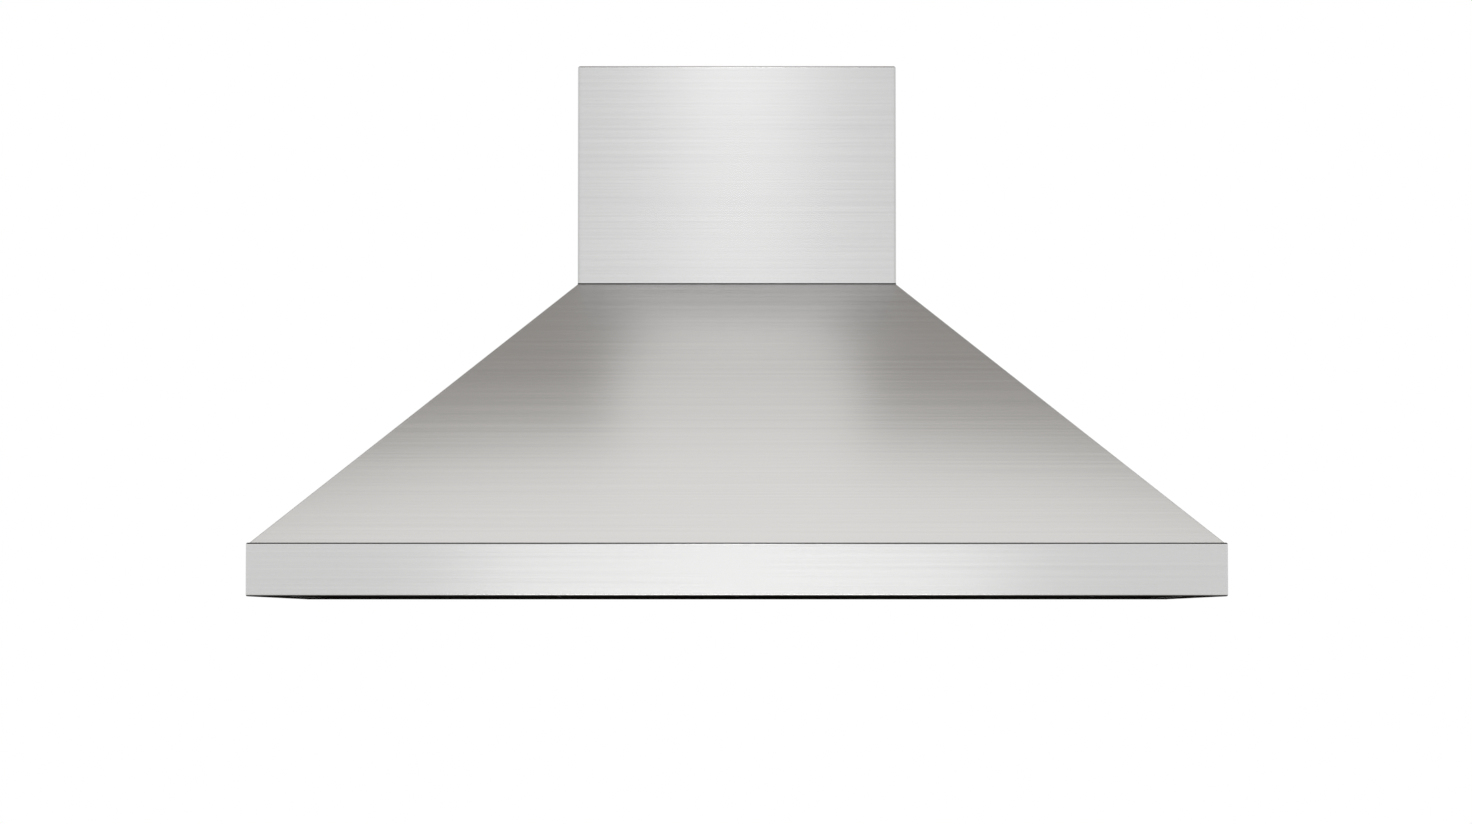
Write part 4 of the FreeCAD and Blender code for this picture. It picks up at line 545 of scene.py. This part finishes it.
# Stage: a pale floor well below the hood, a white surround and soft lamps
stageSetup = {
    "floorBelow": 0.85,
    "floorReach": 9.0,
    "floorRings": 25,
    "floorRays": 97,
    "floorColour": (0.88, 0.88, 0.87, 1),
    "floorMottle": (1.5, 1.5, 1.5),
    "mottleDarkness": 0.99,
    "fadeFrom": 1.6,
    "fadeTo": 8.55,
    "skyAround": (1.0, 1.0, 1.0, 1),
    "skyAbove": (0.37, 0.352, 0.33, 1),
    "dimFrom": 0.68,
    "dimTo": 0.93,
}


def gridMesh(name, points):
    # a mesh from an array of rows by columns by 3
    rows, columns = points.shape[:2]
    index = np.arange(rows * columns).reshape(rows, columns)
    corners = np.stack([index[:-1, :-1], index[:-1, 1:], index[1:, 1:], index[1:, :-1]], axis=-1)
    mesh = bpy.data.meshes.new(name)
    mesh.from_pydata(points.reshape(-1, 3), [], corners.reshape(-1, 4))
    mesh.update()
    made = bpy.data.objects.new(name, mesh)
    scene.collection.objects.link(made)
    return made


def addFloor(setup):
    # a round sheet: x = radius * cos(angle), y = radius * sin(angle), z = the floor's level
    radius = np.linspace(0.0, setup["floorReach"], setup["floorRings"])
    angle = np.linspace(2 * np.pi, 0.0, setup["floorRays"])
    radius, angle = np.meshgrid(radius, angle, indexing="ij")
    level = cadBox[0][2] - setup["floorBelow"]
    points = np.stack([radius * np.cos(angle), radius * np.sin(angle), np.full_like(radius, level)], axis=-1)
    floor = gridMesh("floor", points)

    def paint(p):
        mottle = (p * setup["floorMottle"]).noise(2.0, 0.5)
        low = tuple(c * setup["mottleDarkness"] for c in setup["floorColour"][:3]) + (1,)
        return {"Base Color": mottle.blend(low, setup["floorColour"]), "Roughness": 0.9}

    material = makeMaterial("floor_paint", paint)
    floor.data.materials.append(material)
    # it fades into the backdrop far out, and is clear when seen from below
    tree = material.node_tree
    painted = Value(tree, next(n for n in tree.nodes if n.type == "BSDF_PRINCIPLED").outputs[0])
    place = painted.node("ShaderNodeTexCoord", {}, {}, "Object") * (1.0, 1.0, 0.0)
    distance = painted.node("ShaderNodeVectorMath", {"operation": "LENGTH"}, {0: place}, "Value")
    backdrop = painted.node("ShaderNodeEmission", {}, {"Color": setup["skyAround"]})
    far = distance.between(setup["fadeFrom"], setup["fadeTo"])
    faded = painted.node("ShaderNodeMixShader", {}, {0: far, 1: painted, 2: backdrop})
    clear = painted.node("ShaderNodeBsdfTransparent")
    below = painted.node("ShaderNodeNewGeometry", {}, {}, "Backfacing")
    showSurface(tree, painted.node("ShaderNodeMixShader", {}, {0: below, 1: faded, 2: clear}))


def addSurround(setup):
    # white all round and dim overhead
    world = bpy.data.worlds.new("surround")
    world.use_nodes = True
    tree = world.node_tree
    background = next(n for n in tree.nodes if n.type == "BACKGROUND")
    rise = Value(tree).node("ShaderNodeTexCoord", {}, {}, "Generated").part("Z")
    sky = rise.between(setup["dimFrom"], setup["dimTo"]).blend(setup["skyAround"], setup["skyAbove"])
    tree.links.new(sky.socket, background.inputs["Color"])
    scene.world = world


# Lamps: two shine straight down on the canopy, and one stands before each upright front
lamps = {
    "canopy": {"place": (0.0, -0.985, 0.52), "aim": (0.0, -0.985, 0.0), "width": 2.4, "depth": 1.16,
               "shape": "ELLIPSE", "power": 0.50, "spread": 50},
    "ridge": {"place": (0.0, -0.36, 0.52), "aim": (0.0, -0.36, 0.0), "width": 0.28, "depth": 0.20,
              "shape": "ELLIPSE", "power": 0.0074, "spread": 50},
    "flue": {"place": (0.0, -2.6, 1.6), "aim": (0.0, -0.3, 0.25), "width": 0.20, "depth": 1.2,
             "shape": "RECTANGLE", "power": 0.26, "spread": 60},
    "band": {"place": (0.0, -2.2, -0.85), "aim": (0.0, -0.6, -0.15), "width": 0.7, "depth": 0.5,
             "shape": "RECTANGLE", "power": 0.74, "spread": 90},
}


def addLamp(name, lamp):
    data = bpy.data.lights.new(name, "AREA")
    data.shape = lamp["shape"]
    data.size = lamp["width"]
    data.size_y = lamp["depth"]
    data.energy = lamp["power"]
    data.spread = math.radians(lamp["spread"])
    light = bpy.data.objects.new(name, data)
    light.location = lamp["place"]
    aim = np.array(lamp["aim"]) - np.array(lamp["place"])
    light.rotation_euler = (math.atan2(math.hypot(aim[0], aim[1]), -aim[2]), 0, -math.atan2(aim[0], aim[1]))
    light.visible_camera = False
    scene.collection.objects.link(light)


addFloor(stageSetup)
addSurround(stageSetup)
for name, lamp in lamps.items():
    addLamp(name, lamp)
scene.view_settings.view_transform = "Standard"
print("stage lit")
